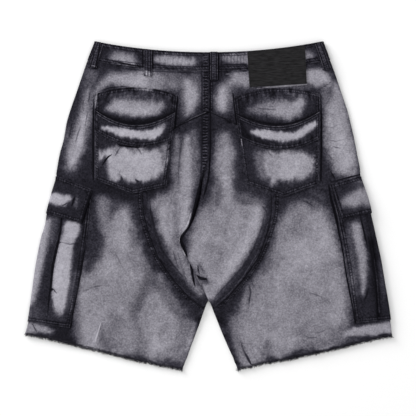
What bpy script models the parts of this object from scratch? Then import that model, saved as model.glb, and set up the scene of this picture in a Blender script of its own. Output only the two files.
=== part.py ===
"""Washed-black denim cargo shorts, laid flat on their front with the back facing up.

Sizes are in millimetres and become metres where a piece is made. +X points to the wearer's right,
+Y to the waist and +Z up, and the shorts lie on z = 0 with the origin below the middle of their box.

The garment is a stack of cloth walls: the front panels lie lowest, the back panels lie on them, and
pockets, flaps, belt loops and the patch lie on those. front_z and back_z give the height of the
middle of each panel's wall, and what is sewn on a panel takes that height and stands a ply further
out. Front and back meet in round folds along the sides and the inseams. At the seat the left panel
is folded over the right one, and each cargo pocket has a pleat down its back half.
"""

from collections import namedtuple
from math import cos, hypot, pi, radians, sin

import bmesh
import bpy
from mathutils import Vector

MM = 0.001

# Walls, and the spacing of the layers.
BODY_WALL = 1.2
TRIM_WALL = 1.0
BAND_WALL = 2.2
LOOP_WALL = 1.2
PATCH_WALL = 1.4
PLY = 1.6
FOLD_PLY = 1.3
SEAM = 0.15
REST = BODY_WALL / 2

# Waistband: the Y of its two edges at the centre and at the sides, and its half widths.
BACK_TOP = 271.2
BACK_SEAM = 237.8
FRONT_TOP = 262.0
FRONT_SEAM = 228.5
SIDE_TOP = 288.5
SIDE_SEAM = 256.0
BAND_TOP_HALF = 201.9
BAND_SEAM_HALF = 211.8
BAND_FRONT_Z = 3.6
BAND_UNDERLAP_Z = 6.1
BAND_BACK_Z = 9.0
LAP = 20.0
LAP_RAMP_START = 30.0
LAP_RAMP = 48.0

# Crotch, inseams and hem.
CROTCH_Y = -165.4
INSEAM_SLOPE = 0.395
HEM_SIDE_Y = -228.4
HEM_INNER_Y = -288.6

# Folds where the front turns into the back; each panel's quarter turn stops just short.
SIDE_FOLD = 1.8
WAIST_FOLD = 2.7
WAIST_FOLD_FROM_Y = 190.0
TURN_END = 0.9

# Runs over which the panels change height.
FRONT_LIFT = 3.0
WAIST_RUN = 63.0
SHELF = 70.0
SHELF_RUN = 56.0
FLY_MARGIN = 8.0
FLY_RUN = 45.0
SIDE_RUN = 110.0
INNER_RUN = 70.0

# Seat fold: the left inset's edge lies over the right inset, which dips into a valley beside it.
OVERLAP = 9.0
EDGE_LIFT = 0.9
EDGE_LIFT_RUN = 45.0
EDGE_DROP = 1.2
VALLEY = 4.6
VALLEY_FLOOR = 6.0
VALLEY_BANK = 13.0
SEAM_RUN = 12.0
INSET_MARGIN = 20.0

# Cargo pockets and flaps.
FRONT_HALF = 60.0
PLEAT_DEPTH = 9.0
PLEAT_CLEAR = 2.0
FLAP_PROUD = 5.8
FLAP_SIDE = 3.05
FLAP_RISE = 22.0
FLAP_BEYOND_PLEAT = 4.0

SideStation = namedtuple("SideStation", "y x lift")
SIDE = (
    SideStation(y=255.7, x=212.0, lift=1.0),
    SideStation(y=204.0, x=229.5, lift=0.55),
    SideStation(y=151.0, x=247.0, lift=0.4),
    SideStation(y=99.0, x=258.4, lift=0.6),
    SideStation(y=57.0, x=265.4, lift=0.95),
    SideStation(y=36.0, x=270.4, lift=1.0),
    SideStation(y=-6.0, x=280.8, lift=1.0),
    SideStation(y=-59.0, x=292.8, lift=1.0),
    SideStation(y=-111.0, x=303.4, lift=1.0),
    SideStation(y=-164.0, x=311.3, lift=1.0),
    SideStation(y=-213.0, x=318.1, lift=1.0),
    SideStation(y=HEM_SIDE_Y, x=320.5, lift=0.55),
)

# Height of the back's wall: down the middle of each half, and along the centre seam and inseam.
BackHeight = namedtuple("BackHeight", "y crown inner")
BACK_HEIGHTS = (
    BackHeight(y=256, crown=9.0, inner=9.0),
    BackHeight(y=208, crown=9.2, inner=9.1),
    BackHeight(y=150, crown=10.0, inner=9.8),
    BackHeight(y=90, crown=10.8, inner=10.4),
    BackHeight(y=0, crown=11.2, inner=11.0),
    BackHeight(y=-60, crown=11.0, inner=10.4),
    BackHeight(y=-120, crown=10.0, inner=8.4),
    BackHeight(y=-165, crown=8.4, inner=6.0),
    BackHeight(y=-228, crown=5.2, inner=4.8),
    BackHeight(y=-288, crown=3.4, inner=4.2),
)

# Rows of the back, mirrored: from the centre of the seat, over the inset's seam, to the side.
# The seam is the centre seam in the first rows and the inseam in the last two.
BackRow = namedtuple("BackRow", "side_y seam_x seam_y centre_y")
BACK_ROWS = (
    BackRow(side_y=255.7, seam_x=0.0, seam_y=237.5, centre_y=237.5),
    BackRow(side_y=204.0, seam_x=0.0, seam_y=203.0, centre_y=203.0),
    BackRow(side_y=158.0, seam_x=0.0, seam_y=165.4, centre_y=165.4),
    BackRow(side_y=142.0, seam_x=26.0, seam_y=153.5, centre_y=150.0),
    BackRow(side_y=128.0, seam_x=52.0, seam_y=141.0, centre_y=135.0),
    BackRow(side_y=110.0, seam_x=82.0, seam_y=122.0, centre_y=115.0),
    BackRow(side_y=84.0, seam_x=103.0, seam_y=95.0, centre_y=90.0),
    BackRow(side_y=55.0, seam_x=114.0, seam_y=60.0, centre_y=55.0),
    BackRow(side_y=22.0, seam_x=116.0, seam_y=22.0, centre_y=20.0),
    BackRow(side_y=-12.0, seam_x=114.0, seam_y=-12.0, centre_y=-17.0),
    BackRow(side_y=-50.0, seam_x=104.0, seam_y=-49.0, centre_y=-57.8),
    BackRow(side_y=-90.0, seam_x=87.0, seam_y=-92.0, centre_y=-95.0),
    BackRow(side_y=-122.0, seam_x=61.0, seam_y=-129.0, centre_y=-128.0),
    BackRow(side_y=-150.0, seam_x=33.5, seam_y=-160.5, centre_y=-152.0),
    BackRow(side_y=-168.0, seam_x=5.6, seam_y=-179.5, centre_y=-175.0),
    BackRow(side_y=-198.0, seam_x=24.7, seam_y=-228.0, centre_y=-228.0),
    BackRow(side_y=HEM_SIDE_Y, seam_x=48.5, seam_y=HEM_INNER_Y, centre_y=HEM_INNER_Y),
)
INSET_TOP = 2
INSET_FOOT = 14
HEM_ROW = 16

# Rows of the front, mirrored: they meet the back's rows of the same number at the side fold and
# end at the centre seam or, below the crotch, at the inseam.
FrontRow = namedtuple("FrontRow", "number inner_y")
FRONT_ROWS = (
    FrontRow(number=0, inner_y=228.2),
    FrontRow(number=1, inner_y=178.0),
    FrontRow(number=2, inner_y=135.0),
    FrontRow(number=6, inner_y=62.0),
    FrontRow(number=8, inner_y=0.0),
    FrontRow(number=10, inner_y=-72.0),
    FrontRow(number=12, inner_y=-130.0),
    FrontRow(number=14, inner_y=CROTCH_Y),
    FrontRow(number=15, inner_y=-227.0),
    FrontRow(number=16, inner_y=HEM_INNER_Y),
)

# Edge of the left inset where it is folded over the right one.
SeatFold = namedtuple("SeatFold", "y x")
SEAT_FOLD = (
    SeatFold(y=84.0, x=0.0),
    SeatFold(y=60.0, x=-9.6),
    SeatFold(y=20.0, x=-16.6),
    SeatFold(y=-27.0, x=-30.6),
    SeatFold(y=-57.8, x=-51.0),
    SeatFold(y=-90.0, x=-37.6),
    SeatFold(y=-120.0, x=-21.9),
    SeatFold(y=-148.0, x=-7.9),
    SeatFold(y=CROTCH_Y, x=0.0),
)

# Stretches of Y along the seat, from the waist down.
Stretch = namedtuple("Stretch", "starts full fades gone")
SEAT_APART = Stretch(starts=112.0, full=84.0, fades=-151.0, gone=CROTCH_Y)
SEAT_OVERLAP = Stretch(starts=84.0, full=54.0, fades=-116.0, gone=-150.0)
SEAT_VALLEY = Stretch(starts=84.0, full=58.0, fades=2.0, gone=-58.0)

# Back pockets. The mouth is scooped, and a band follows it down to its own lower edge.
BackPocket = namedtuple(
    "BackPocket",
    "side inner_top_x inner_top_y outer_top_x outer_top_y top_arch"
    " inner_foot_x inner_foot_y outer_foot_x outer_foot_y tip tip_y"
    " mouth_inner_y mouth_outer_y mouth_sag band_inner_y band_outer_y band_sag",
)
BACK_POCKETS = {
    "left": BackPocket(
        side=-1, inner_top_x=55.1, inner_top_y=194.7, outer_top_x=198.6, outer_top_y=196.9,
        top_arch=13.0, inner_foot_x=73.5, inner_foot_y=35.9, outer_foot_x=199.2,
        outer_foot_y=47.1, tip=0.465, tip_y=23.1, mouth_inner_y=164.2, mouth_outer_y=169.0,
        mouth_sag=25.0, band_inner_y=116.4, band_outer_y=133.0, band_sag=19.0),
    "right": BackPocket(
        side=1, inner_top_x=44.6, inner_top_y=189.9, outer_top_x=194.6, outer_top_y=196.5,
        top_arch=14.0, inner_foot_x=64.6, inner_foot_y=41.1, outer_foot_x=193.7,
        outer_foot_y=40.0, tip=0.504, tip_y=17.9, mouth_inner_y=161.0, mouth_outer_y=166.0,
        mouth_sag=23.5, band_inner_y=120.0, band_outer_y=119.0, band_sag=19.7),
}
BACKING_HIDDEN = 10.0
MOUTH_LIP = 16.0
MOUTH_RAMP = 34.0

# Cargo pockets: the back half's inner edge and the pleat's edge, from the top to the foot.
CargoPocket = namedtuple("CargoPocket", "side top_inner_y top_side_y foot_inner_y foot_side_y")
CARGO_POCKETS = {
    "left": CargoPocket(side=-1, top_inner_y=12.0, top_side_y=20.0,
                        foot_inner_y=-212.1, foot_side_y=-201.4),
    "right": CargoPocket(side=1, top_inner_y=12.0, top_side_y=20.0,
                         foot_inner_y=-202.8, foot_side_y=-198.1),
}
CargoEdge = namedtuple("CargoEdge", "y inner_x pleat_x")
CARGO_EDGES = {
    "left": (
        CargoEdge(y=27.0, inner_x=204.8, pleat_x=243.5),
        CargoEdge(y=-26.0, inner_x=210.2, pleat_x=255.7),
        CargoEdge(y=-84.0, inner_x=218.4, pleat_x=269.7),
        CargoEdge(y=-130.0, inner_x=225.6, pleat_x=276.7),
        CargoEdge(y=-212.0, inner_x=243.3, pleat_x=281.6),
    ),
    "right": (
        CargoEdge(y=25.0, inner_x=214.5, pleat_x=258.0),
        CargoEdge(y=-17.0, inner_x=226.0, pleat_x=271.3),
        CargoEdge(y=-57.0, inner_x=234.2, pleat_x=281.5),
        CargoEdge(y=-102.0, inner_x=242.2, pleat_x=289.0),
        CargoEdge(y=-203.0, inner_x=257.3, pleat_x=294.5),
    ),
}

# Cargo flaps, by the corners of their back half; the outer ones lie on the side fold.
CargoFlap = namedtuple("CargoFlap", "side top_inner_x top_inner_y top_side_y "
                       "foot_inner_x foot_inner_y foot_side_y")
CARGO_FLAPS = {
    "left": CargoFlap(side=-1, top_inner_x=202.3, top_inner_y=29.4, top_side_y=52.7,
                      foot_inner_x=221.9, foot_inner_y=-29.6, foot_side_y=-12.4),
    "right": CargoFlap(side=1, top_inner_x=212.3, top_inner_y=37.6, top_side_y=52.7,
                       foot_inner_x=231.9, foot_inner_y=-23.1, foot_side_y=-11.4),
}

BeltLoop = namedtuple("BeltLoop", "name top_x top_y foot_x foot_y width z bulge")
LOOP_OVER = BAND_BACK_Z + (BAND_WALL + LOOP_WALL) / 2 + 2 * SEAM
LOOP_UNDER = BAND_FRONT_Z - (BAND_WALL + LOOP_WALL) / 2 - 2 * SEAM
BELT_LOOPS = (
    BeltLoop("belt_loop_back_left", -106.0, 273.5, -106.0, 228.0, 14.0, LOOP_OVER, 0.8),
    BeltLoop("belt_loop_centre", 9.5, 270.5, 9.5, 222.0, 12.6, LOOP_OVER, 0.8),
    BeltLoop("belt_loop_side_left", -192.5, 285.5, -203.0, 243.0, 13.0, LOOP_OVER, 0.6),
    BeltLoop("belt_loop_side_right", 193.2, 285.5, 207.0, 241.0, 12.0, LOOP_OVER, 0.6),
    BeltLoop("belt_loop_front_left", -110.0, 269.0, -110.0, 225.5, 13.0, LOOP_UNDER, -0.5),
    BeltLoop("belt_loop_front_right", 110.0, 269.0, 110.0, 225.5, 13.0, LOOP_UNDER, -0.5),
)

Corner = namedtuple("Corner", "x y")
PATCH_CORNERS = (Corner(67.7, 270.9), Corner(168.5, 281.6), Corner(71.8, 208.9),
                 Corner(171.9, 214.7))
PATCH_Z = BAND_BACK_Z + (BAND_WALL + PATCH_WALL) / 2 + 2 * SEAM

FLY_WIDTH = 38.0
FLY_TOP_Y = 228.2
FLY_CURVE_Y = 112.0
FLY_FOOT_Y = 78.0
FLY_ROWS_Y = (FLY_TOP_Y, 195.0, 155.0, FLY_CURVE_Y, 98.0, 88.0, 81.0, FLY_FOOT_Y + 0.4)

BUTTON_Y = 245.0
BUTTON_RADIUS = 8.5
BUTTON_TOP = BAND_FRONT_Z - BAND_WALL / 2 - 2 * SEAM
BUTTON_STEPS = 16
# Its profile from the back's middle, round the rolled rim, to the middle of the dished face.
BUTTON_PROFILE = (
    (0.0, BUTTON_TOP),
    (BUTTON_RADIUS - 0.6, BUTTON_TOP),
    (BUTTON_RADIUS, BUTTON_TOP - 0.6),
    (BUTTON_RADIUS, 0.7),
    (BUTTON_RADIUS - 0.8, 0.0),
    (BUTTON_RADIUS - 2.2, 0.0),
    (BUTTON_RADIUS - 3.0, 0.5),
    (0.0, 0.5),
)

# Finishes: base colour and roughness.
DENIM = ((0.105, 0.100, 0.112), 0.92)
DARK_DENIM = ((0.022, 0.021, 0.027), 0.94)
LEATHER = ((0.012, 0.011, 0.013), 0.55)
METAL = ((0.18, 0.17, 0.16), 0.35)


def ease(t):
    """0 to 1 with soft ends."""
    t = min(max(t, 0.0), 1.0)
    return t * t * (3.0 - 2.0 * t)


def arch(t):
    """0 at both ends of 0..1 and 1 in the middle."""
    return 1.0 - (2.0 * t - 1.0) ** 2


def mix(first, last, t):
    return first + (last - first) * t


def curve(knots, values, at):
    """Smooth curve through the values, which never swings past them."""
    if knots[0] > knots[-1]:
        knots = knots[::-1]
        values = values[::-1]
    at = min(max(at, knots[0]), knots[-1])
    steps = [after - before for before, after in zip(knots, knots[1:])]
    rises = [(after - before) / step for before, after, step in zip(values, values[1:], steps)]
    slopes = [rises[0]]
    for before, after in zip(rises, rises[1:]):
        turns = before * after <= 0.0
        slopes.append(0.0 if turns else 2.0 * before * after / (before + after))
    slopes.append(rises[-1])
    span = max(i for i in range(len(steps)) if knots[i] <= at or i == 0)
    t = (at - knots[span]) / steps[span]
    pull = slopes[span] * steps[span]
    push = slopes[span + 1] * steps[span]
    rise = values[span + 1] - values[span]
    bend = (3 * rise - 2 * pull - push) * t**2
    return values[span] + pull * t + bend + (pull + push - 2 * rise) * t**3


def stations(first, last, count):
    """Evenly spaced values from first to last, both included."""
    return [mix(first, last, i / count) for i in range(count + 1)]


def column(table, name, y):
    """A column of a table that is kept by y."""
    return curve([row.y for row in table], [getattr(row, name) for row in table], y)


def side_x(y):
    """X of the middle of the body's wall on the side fold."""
    return column(SIDE, "x", y)


def inseam_x(y):
    """X of the inseam below the crotch, and of the centre seam above it."""
    return max(0.0, INSEAM_SLOPE * (CROTCH_Y - y))


def front_seam_y(x):
    """Y of the waist seam on the front."""
    return mix(FRONT_SEAM, SIDE_SEAM, (x / BAND_SEAM_HALF) ** 2)


def front_z(x, y):
    """Height of the front's wall: on the floor, but lifted at the waist, sides and fly."""
    waist = 1.0 - ease((front_seam_y(x) - y) / WAIST_RUN)
    side = column(SIDE, "lift", y) * (1.0 - ease((side_x(y) - abs(x) - SHELF) / SHELF_RUN))
    beside_fly = abs(x + FLY_WIDTH / 2) - FLY_WIDTH / 2 - FLY_MARGIN
    below_fly = FLY_FOOT_Y - FLY_MARGIN - y
    fly = (1.0 - ease(beside_fly / FLY_RUN)) * (1.0 - ease(below_fly / FLY_RUN))
    return REST + FRONT_LIFT * (1.0 - (1.0 - waist) * (1.0 - side) * (1.0 - 0.5 * fly))


def fold_radius(y):
    """Radius of the side fold."""
    return mix(SIDE_FOLD, WAIST_FOLD, ease((y - WAIST_FOLD_FROM_Y) / (SIDE_SEAM - WAIST_FOLD_FROM_Y)))


def inner_fold_radius(y):
    """Radius of the fold along the inseam."""
    return (column(BACK_HEIGHTS, "inner", y) - REST) / 2


def back_z(x, y):
    """Height of the back's wall: low at the side folds and inseams, high between them."""
    side = front_z(side_x(y), y) + 2.0 * fold_radius(y)
    crown = column(BACK_HEIGHTS, "crown", y)
    inner = column(BACK_HEIGHTS, "inner", y)
    from_side = side_x(y) - abs(x)
    from_inner = abs(x) - inseam_x(y)
    over_leg = mix(side, crown, ease(from_side / SIDE_RUN))
    return over_leg + (inner - crown) * (1.0 - ease(from_inner / INNER_RUN))


def side_turn(side, y, out, angles):
    """Points round the side fold, `out` from the body's wall; 90 degrees is up, -90 down."""
    radius = fold_radius(y)
    centre_x = side_x(y) - radius
    centre_z = front_z(side_x(y), y) + radius
    return [
        (side * (centre_x + (radius + out) * cos(angle)), y, centre_z + (radius + out) * sin(angle))
        for angle in angles
    ]


def back_row(name, t):
    """A column of BACK_ROWS at row number t; the seam has corners at the inset's two ends."""
    for first, last in ((0, INSET_TOP), (INSET_TOP, INSET_FOOT), (INSET_FOOT, HEM_ROW)):
        if t <= last:
            break
    rows = list(range(first, last + 1))
    return curve(rows, [getattr(BACK_ROWS[row], name) for row in rows], t)


def seam_point(t, shift):
    """A point of the inset's seam at row t, moved towards the side by `shift`."""
    before = max(t - SEAM_STEP, INSET_TOP if t >= INSET_TOP else 0)
    after = min(t + SEAM_STEP, INSET_FOOT if t <= INSET_FOOT else HEM_ROW)
    run_x = back_row("seam_x", after) - back_row("seam_x", before)
    run_y = back_row("seam_y", after) - back_row("seam_y", before)
    length = hypot(run_x, run_y)
    x = back_row("seam_x", t) - shift * run_y / length
    y = back_row("seam_y", t) + shift * run_x / length
    return (x, y)


# Row numbers and places across a row where the panels have their points.
SEAM_STEP = 0.05
INSET_TIP = 0.12
INSET_ROWS = stations(INSET_TOP, INSET_FOOT, 18)
INSET_STATIONS = [INSET_TOP + INSET_TIP] + INSET_ROWS[1:-1] + [INSET_FOOT - INSET_TIP]
LEG_STATIONS = [INSET_FOOT + INSET_TIP, 14.5, 15, 15.5, HEM_ROW]
BACK_STATIONS = [0, 0.5, 1, 1.5, INSET_TOP] + INSET_STATIONS + [INSET_FOOT] + LEG_STATIONS
BACK_COLUMNS = (0.0, 0.25, 0.48, 0.68, 0.84, 0.94, 1.0)
FRONT_STATIONS = [0, 0.5, 1, 1.5] + INSET_ROWS[0:6:2] + INSET_ROWS[6:9] + INSET_ROWS[9::2]
FRONT_STATIONS += [INSET_FOOT] + LEG_STATIONS
FRONT_COLUMNS = (0.0, 0.22, 0.6, 1.0)
INNER_TURNS = (TURN_END, 0.5)
SIDE_TURNS = (0.5, TURN_END)
PLEAT_HALF_TURN = stations(pi / 2, -pi / 2, 3)
SIDE_HALF_TURN = stations(pi / 2, -pi / 2, 6)
WAIST_BOW_ROWS = 3


def inseam_curl(t):
    """0 where the panels' inner edges lie flat, 1 where they turn to meet along the inseam."""
    return ease((t - LEG_STATIONS[0]) / (LEG_STATIONS[1] - LEG_STATIONS[0]))


def back_leg_sections(side):
    """Rows of a back panel, from its inner edge, over the crown, round the side fold."""
    sections = []
    for t in BACK_STATIONS:
        side_y = back_row("side_y", t)
        flat_end = side_x(side_y) - fold_radius(side_y)
        inner_x, inner_y = seam_point(t, SEAM)
        bow = (SIDE_SEAM - BACK_SEAM) / 4 * (1.0 - ease(t / WAIST_BOW_ROWS))
        reach = inner_fold_radius(inner_y)
        row = []
        for turn in INNER_TURNS:
            x = inner_x + reach * (1.0 - sin(turn * pi / 2))
            z = back_z(x, inner_y) - inseam_curl(t) * reach * (1.0 - cos(turn * pi / 2))
            row.append((side * x, inner_y, z))
        for across in BACK_COLUMNS:
            x = mix(inner_x + reach, flat_end, across)
            y = mix(inner_y, side_y, across) - bow * 4 * across * (1.0 - across)
            row.append((side * x, y, back_z(x, y)))
        row += side_turn(side, side_y, 0.0, [radians(90 - 90 * turn) for turn in SIDE_TURNS])
        sections.append(row)
    return sections


def seat_edge_x(y):
    """X of the left inset's centre edge, which is folded over the right one."""
    if y > SEAT_FOLD[0].y:
        return 0.0
    return curve([row.y for row in SEAT_FOLD], [row.x for row in SEAT_FOLD], y)


def within(stretch, y):
    """0 outside a stretch of the seat, 1 in its full part."""
    begun = ease((y - stretch.starts) / (stretch.full - stretch.starts))
    left = ease((y - stretch.gone) / (stretch.fades - stretch.gone))
    return begun * left


INSET_NEAR = (0.0, 0.25, 0.5, 0.75, 1.0)
INSET_FAR = (0.2, 0.45, 0.72, 1.0)


def inset_sections(side):
    """Rows of a seat inset, from the centre seam or seat fold to the inset's curved seam."""
    sections = []
    for t in INSET_STATIONS:
        centre_y = back_row("centre_y", t)
        if centre_y < CROTCH_Y:
            centre_x = side * (inseam_x(centre_y) + SEAM)
        else:
            under = OVERLAP * within(SEAT_OVERLAP, centre_y) if side > 0 else 0.0
            centre_x = seat_edge_x(centre_y) - under + side * SEAM
        seam_x, seam_y = seam_point(t, -SEAM)
        width = abs(side * seam_x - centre_x)
        margin = min(INSET_MARGIN, 0.4 * width)
        distances = [margin * near for near in INSET_NEAR]
        distances += [mix(margin, width, far) for far in INSET_FAR]
        row = []
        for distance in distances:
            x = centre_x + side * distance
            y = mix(centre_y, seam_y, distance / width)
            if side < 0:
                shift = EDGE_LIFT * within(SEAT_APART, y) * (1.0 - ease(distance / EDGE_LIFT_RUN))
            else:
                dip = EDGE_DROP * within(SEAT_APART, y) + VALLEY * within(SEAT_VALLEY, y)
                shift = -dip * (1.0 - ease((distance - VALLEY_FLOOR) / VALLEY_BANK))
            at_seam = ease((width - distance) / SEAM_RUN)
            row.append((x, y, back_z(x, y) + shift * at_seam))
        sections.append(row)
    return sections


def front_leg_sections(side):
    """Rows of a front panel, from the centre seam or the inseam round to the side fold."""
    numbers = [row.number for row in FRONT_ROWS]
    sections = []
    for t in FRONT_STATIONS:
        side_y = back_row("side_y", t)
        inner_y = curve(numbers, [row.inner_y for row in FRONT_ROWS], t)
        inner_x = inseam_x(inner_y) + SEAM
        flat_end = side_x(side_y) - fold_radius(side_y)
        bow = (SIDE_SEAM - FRONT_SEAM) / 4 * (1.0 - ease(t / WAIST_BOW_ROWS))
        reach = inner_fold_radius(inner_y)
        row = []
        for turn in INNER_TURNS:
            x = inner_x + reach * (1.0 - sin(turn * pi / 2))
            z = front_z(side * x, inner_y) + inseam_curl(t) * reach * (1.0 - cos(turn * pi / 2))
            row.append((side * x, inner_y, z))
        shelf_end = side_x(side_y) - SHELF
        for x in [mix(inner_x + reach, shelf_end, across) for across in FRONT_COLUMNS] + [flat_end]:
            across = (x - inner_x - reach) / (flat_end - inner_x - reach)
            y = mix(inner_y, side_y, across) - bow * 4 * across * (1.0 - across)
            row.append((side * x, y, front_z(side * x, y)))
        row += side_turn(side, side_y, 0.0, [radians(90 * turn - 90) for turn in SIDE_TURNS])
        sections.append(row)
    return sections


def band_path(half):
    """The waistband's middle line seen from above its edge, as (x, z, on the back)."""
    flat = half - WAIST_FOLD
    centre_z = (BAND_FRONT_Z + BAND_BACK_Z) / 2
    ramp_end = LAP_RAMP_START + LAP_RAMP
    inside_turn = SIDE_HALF_TURN[1:-1]
    path = [(x, BAND_UNDERLAP_Z, False) for x in stations(-LAP, LAP_RAMP_START, 2)]
    for part in stations(0.0, 1.0, 4)[1:]:
        z = mix(BAND_UNDERLAP_Z, BAND_FRONT_Z, ease(part))
        path.append((mix(LAP_RAMP_START, ramp_end, part), z, False))
    path += [(x, BAND_FRONT_Z, False) for x in stations(ramp_end, flat, 3)[1:]]
    for angle in reversed(inside_turn):
        path.append((flat + WAIST_FOLD * cos(angle), centre_z + WAIST_FOLD * sin(angle), False))
    path += [(x, BAND_BACK_Z, True) for x in stations(flat, -flat, 14)]
    for angle in inside_turn:
        path.append((-flat - WAIST_FOLD * cos(angle), centre_z + WAIST_FOLD * sin(angle), False))
    path += [(x, BAND_FRONT_Z, False) for x in stations(-flat, LAP, 8)]
    return path


def top_edge_y(panel, x):
    """Y of a panel's top edge at x, along its straight facets."""
    edge = sorted((abs(point[0]), point[1]) for point in panel[0])
    for before, after in zip(edge, edge[1:]):
        if abs(x) <= after[0]:
            return mix(before[1], after[1], (abs(x) - before[0]) / (after[0] - before[0]))
    return edge[-1][1]


def waistband_sections():
    """The waistband, a flattened ring whose left front end laps over its right one."""
    back = back_leg_sections(1)
    front = front_leg_sections(1)
    seam_row = []
    for x, z, on_back in band_path(BAND_SEAM_HALF):
        seam_row.append((x, top_edge_y(back if on_back else front, x) + 2 * SEAM, z))
    top_row = []
    for x, z, on_back in band_path(BAND_TOP_HALF):
        away = min(abs(x) / (BAND_TOP_HALF - WAIST_FOLD), 1.0) ** 2
        top_row.append((x, mix(BACK_TOP if on_back else FRONT_TOP, SIDE_TOP, away), z))
    return [seam_row, top_row]


def pocket_point(pocket, u, y, out):
    """A point on a back pocket: u runs from its inner to its outer edge."""
    fall = (pocket.inner_top_y - y) / (pocket.inner_top_y - pocket.inner_foot_y)
    inner_x = mix(pocket.inner_top_x, pocket.inner_foot_x, fall)
    outer_x = mix(pocket.outer_top_x, pocket.outer_foot_x, fall)
    x = pocket.side * mix(inner_x, outer_x, u)
    return (x, y, back_z(x, y) + out)


def pocket_top_y(pocket, u):
    return mix(pocket.inner_top_y, pocket.outer_top_y, u) + pocket.top_arch * arch(u)


def pocket_mouth_y(pocket, u):
    return mix(pocket.mouth_inner_y, pocket.mouth_outer_y, u) - pocket.mouth_sag * arch(u)


def pocket_band_y(pocket, u):
    return mix(pocket.band_inner_y, pocket.band_outer_y, u) - pocket.band_sag * arch(u)


def pocket_foot_y(pocket, u):
    if u < pocket.tip:
        return mix(pocket.inner_foot_y, pocket.tip_y, u / pocket.tip)
    return mix(pocket.tip_y, pocket.outer_foot_y, (u - pocket.tip) / (1.0 - pocket.tip))


def pocket_front_out(below_mouth):
    """How far a pocket's front stands off the back: over its backing at the mouth, then lower."""
    return mix(2 * PLY, PLY, ease((below_mouth - MOUTH_LIP) / MOUTH_RAMP))


def pocket_columns(pocket):
    """Column places across a pocket, with one on the tip of its foot."""
    return stations(0.0, pocket.tip, 4) + stations(pocket.tip, 1.0, 4)[1:]


def pocket_backing_sections(pocket):
    """The pocket's upper part, seen above the mouth and tucked behind it."""
    sections = []
    for down in stations(0.0, 1.0, 3):
        row = []
        for u in pocket_columns(pocket):
            y = mix(pocket_top_y(pocket, u), pocket_mouth_y(pocket, u) - BACKING_HIDDEN, down)
            row.append(pocket_point(pocket, u, y, PLY))
        sections.append(row)
    return sections


def pocket_front_sections(pocket):
    """The pocket's front, from the scooped mouth to the pointed foot."""
    sections = []
    for down in (0.0, 0.12, 0.25, 0.4, 0.58, 0.78, 1.0):
        row = []
        for u in pocket_columns(pocket):
            mouth = pocket_mouth_y(pocket, u)
            y = mix(mouth, pocket_foot_y(pocket, u), down)
            row.append(pocket_point(pocket, u, y, pocket_front_out(mouth - y)))
        sections.append(row)
    return sections


def pocket_band_sections(pocket):
    """The band sewn along the mouth, on the pocket's front."""
    sections = []
    for down in stations(0.0, 1.0, 3):
        row = []
        for u in pocket_columns(pocket):
            mouth = pocket_mouth_y(pocket, u)
            y = mix(mouth, pocket_band_y(pocket, u), down)
            row.append(pocket_point(pocket, u, y, pocket_front_out(mouth - y) + PLY))
        sections.append(row)
    return sections


def cargo_pocket_sections(pocket, edges):
    """Rows of a cargo pocket: pleated over the back half, round the side fold, to the front."""
    fold = FOLD_PLY / 2
    sections = []
    for down in stations(0.0, 1.0, 8):
        inner_y = mix(pocket.top_inner_y, pocket.foot_inner_y, down)
        side_y = mix(pocket.top_side_y, pocket.foot_side_y, down)
        inner_x = column(edges, "inner_x", inner_y)
        pleat_x = column(edges, "pleat_x", inner_y)
        flat_end = side_x(side_y) - fold_radius(side_y)

        def row_y(x):
            return mix(inner_y, side_y, (x - inner_x) / (flat_end - inner_x))

        def over_back(x, out):
            return (pocket.side * x, row_y(x), back_z(x, row_y(x)) + out)

        full = pleat_x - PLEAT_DEPTH - PLEAT_CLEAR
        row = []
        for part in stations(0.0, 1.0, 3):
            row.append(over_back(mix(inner_x, full, part), PLY + 2 * FOLD_PLY * ease(part)))
        for angle in PLEAT_HALF_TURN:
            row.append(over_back(pleat_x + fold * cos(angle), PLY + fold * (3.0 + sin(angle))))
        for angle in PLEAT_HALF_TURN:
            x = pleat_x - PLEAT_DEPTH - fold * cos(angle)
            row.append(over_back(x, PLY + fold * (1.0 + sin(angle))))
        row.append(over_back(mix(pleat_x - PLEAT_DEPTH, flat_end, 0.5), PLY))
        row += side_turn(pocket.side, side_y, PLY, SIDE_HALF_TURN)
        for x in stations(flat_end, side_x(side_y) - FRONT_HALF, 3)[1:]:
            row.append((pocket.side * x, row_y(x), front_z(pocket.side * x, row_y(x)) - PLY))
        sections.append(row)
    return sections


def cargo_flap_sections(flap, edges):
    """Rows of a cargo flap: sewn down along its top, standing off over the pocket below."""
    sections = []
    for down in (0.0, 0.12, 0.25, 0.42, 0.7, 1.0):
        inner_x = mix(flap.top_inner_x, flap.foot_inner_x, down)
        inner_y = mix(flap.top_inner_y, flap.foot_inner_y, down)
        side_y = mix(flap.top_side_y, flap.foot_side_y, down)
        pleat_x = column(edges, "pleat_x", inner_y) + FLAP_BEYOND_PLEAT
        flat_end = side_x(side_y) - fold_radius(side_y)
        rise = sin(min(1.0, (flap.top_side_y - side_y) / FLAP_RISE) * pi / 2)
        proud = mix(PLY, FLAP_PROUD, rise)
        close = mix(PLY, FLAP_SIDE, rise)
        quarter = fold_radius(side_y) * pi / 2 + close
        run = flat_end - pleat_x + quarter

        def row_y(x):
            return mix(inner_y, side_y, (x - inner_x) / (flat_end - inner_x))

        row = []
        for x in stations(inner_x, pleat_x, 3) + [mix(pleat_x, flat_end, 0.5)]:
            out = mix(proud, close, ease((x - pleat_x) / run))
            row.append((flap.side * x, row_y(x), back_z(x, row_y(x)) + out))
        for angle in SIDE_HALF_TURN:
            turned = quarter * (1.0 - angle / (pi / 2))
            out = mix(proud, close, ease((flat_end - pleat_x + turned) / run))
            row += side_turn(flap.side, side_y, out, [angle])
        for x in stations(flat_end, side_x(side_y) - FRONT_HALF, 3)[1:]:
            row.append((flap.side * x, row_y(x), front_z(flap.side * x, row_y(x)) - close))
        sections.append(row)
    return sections


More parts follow.
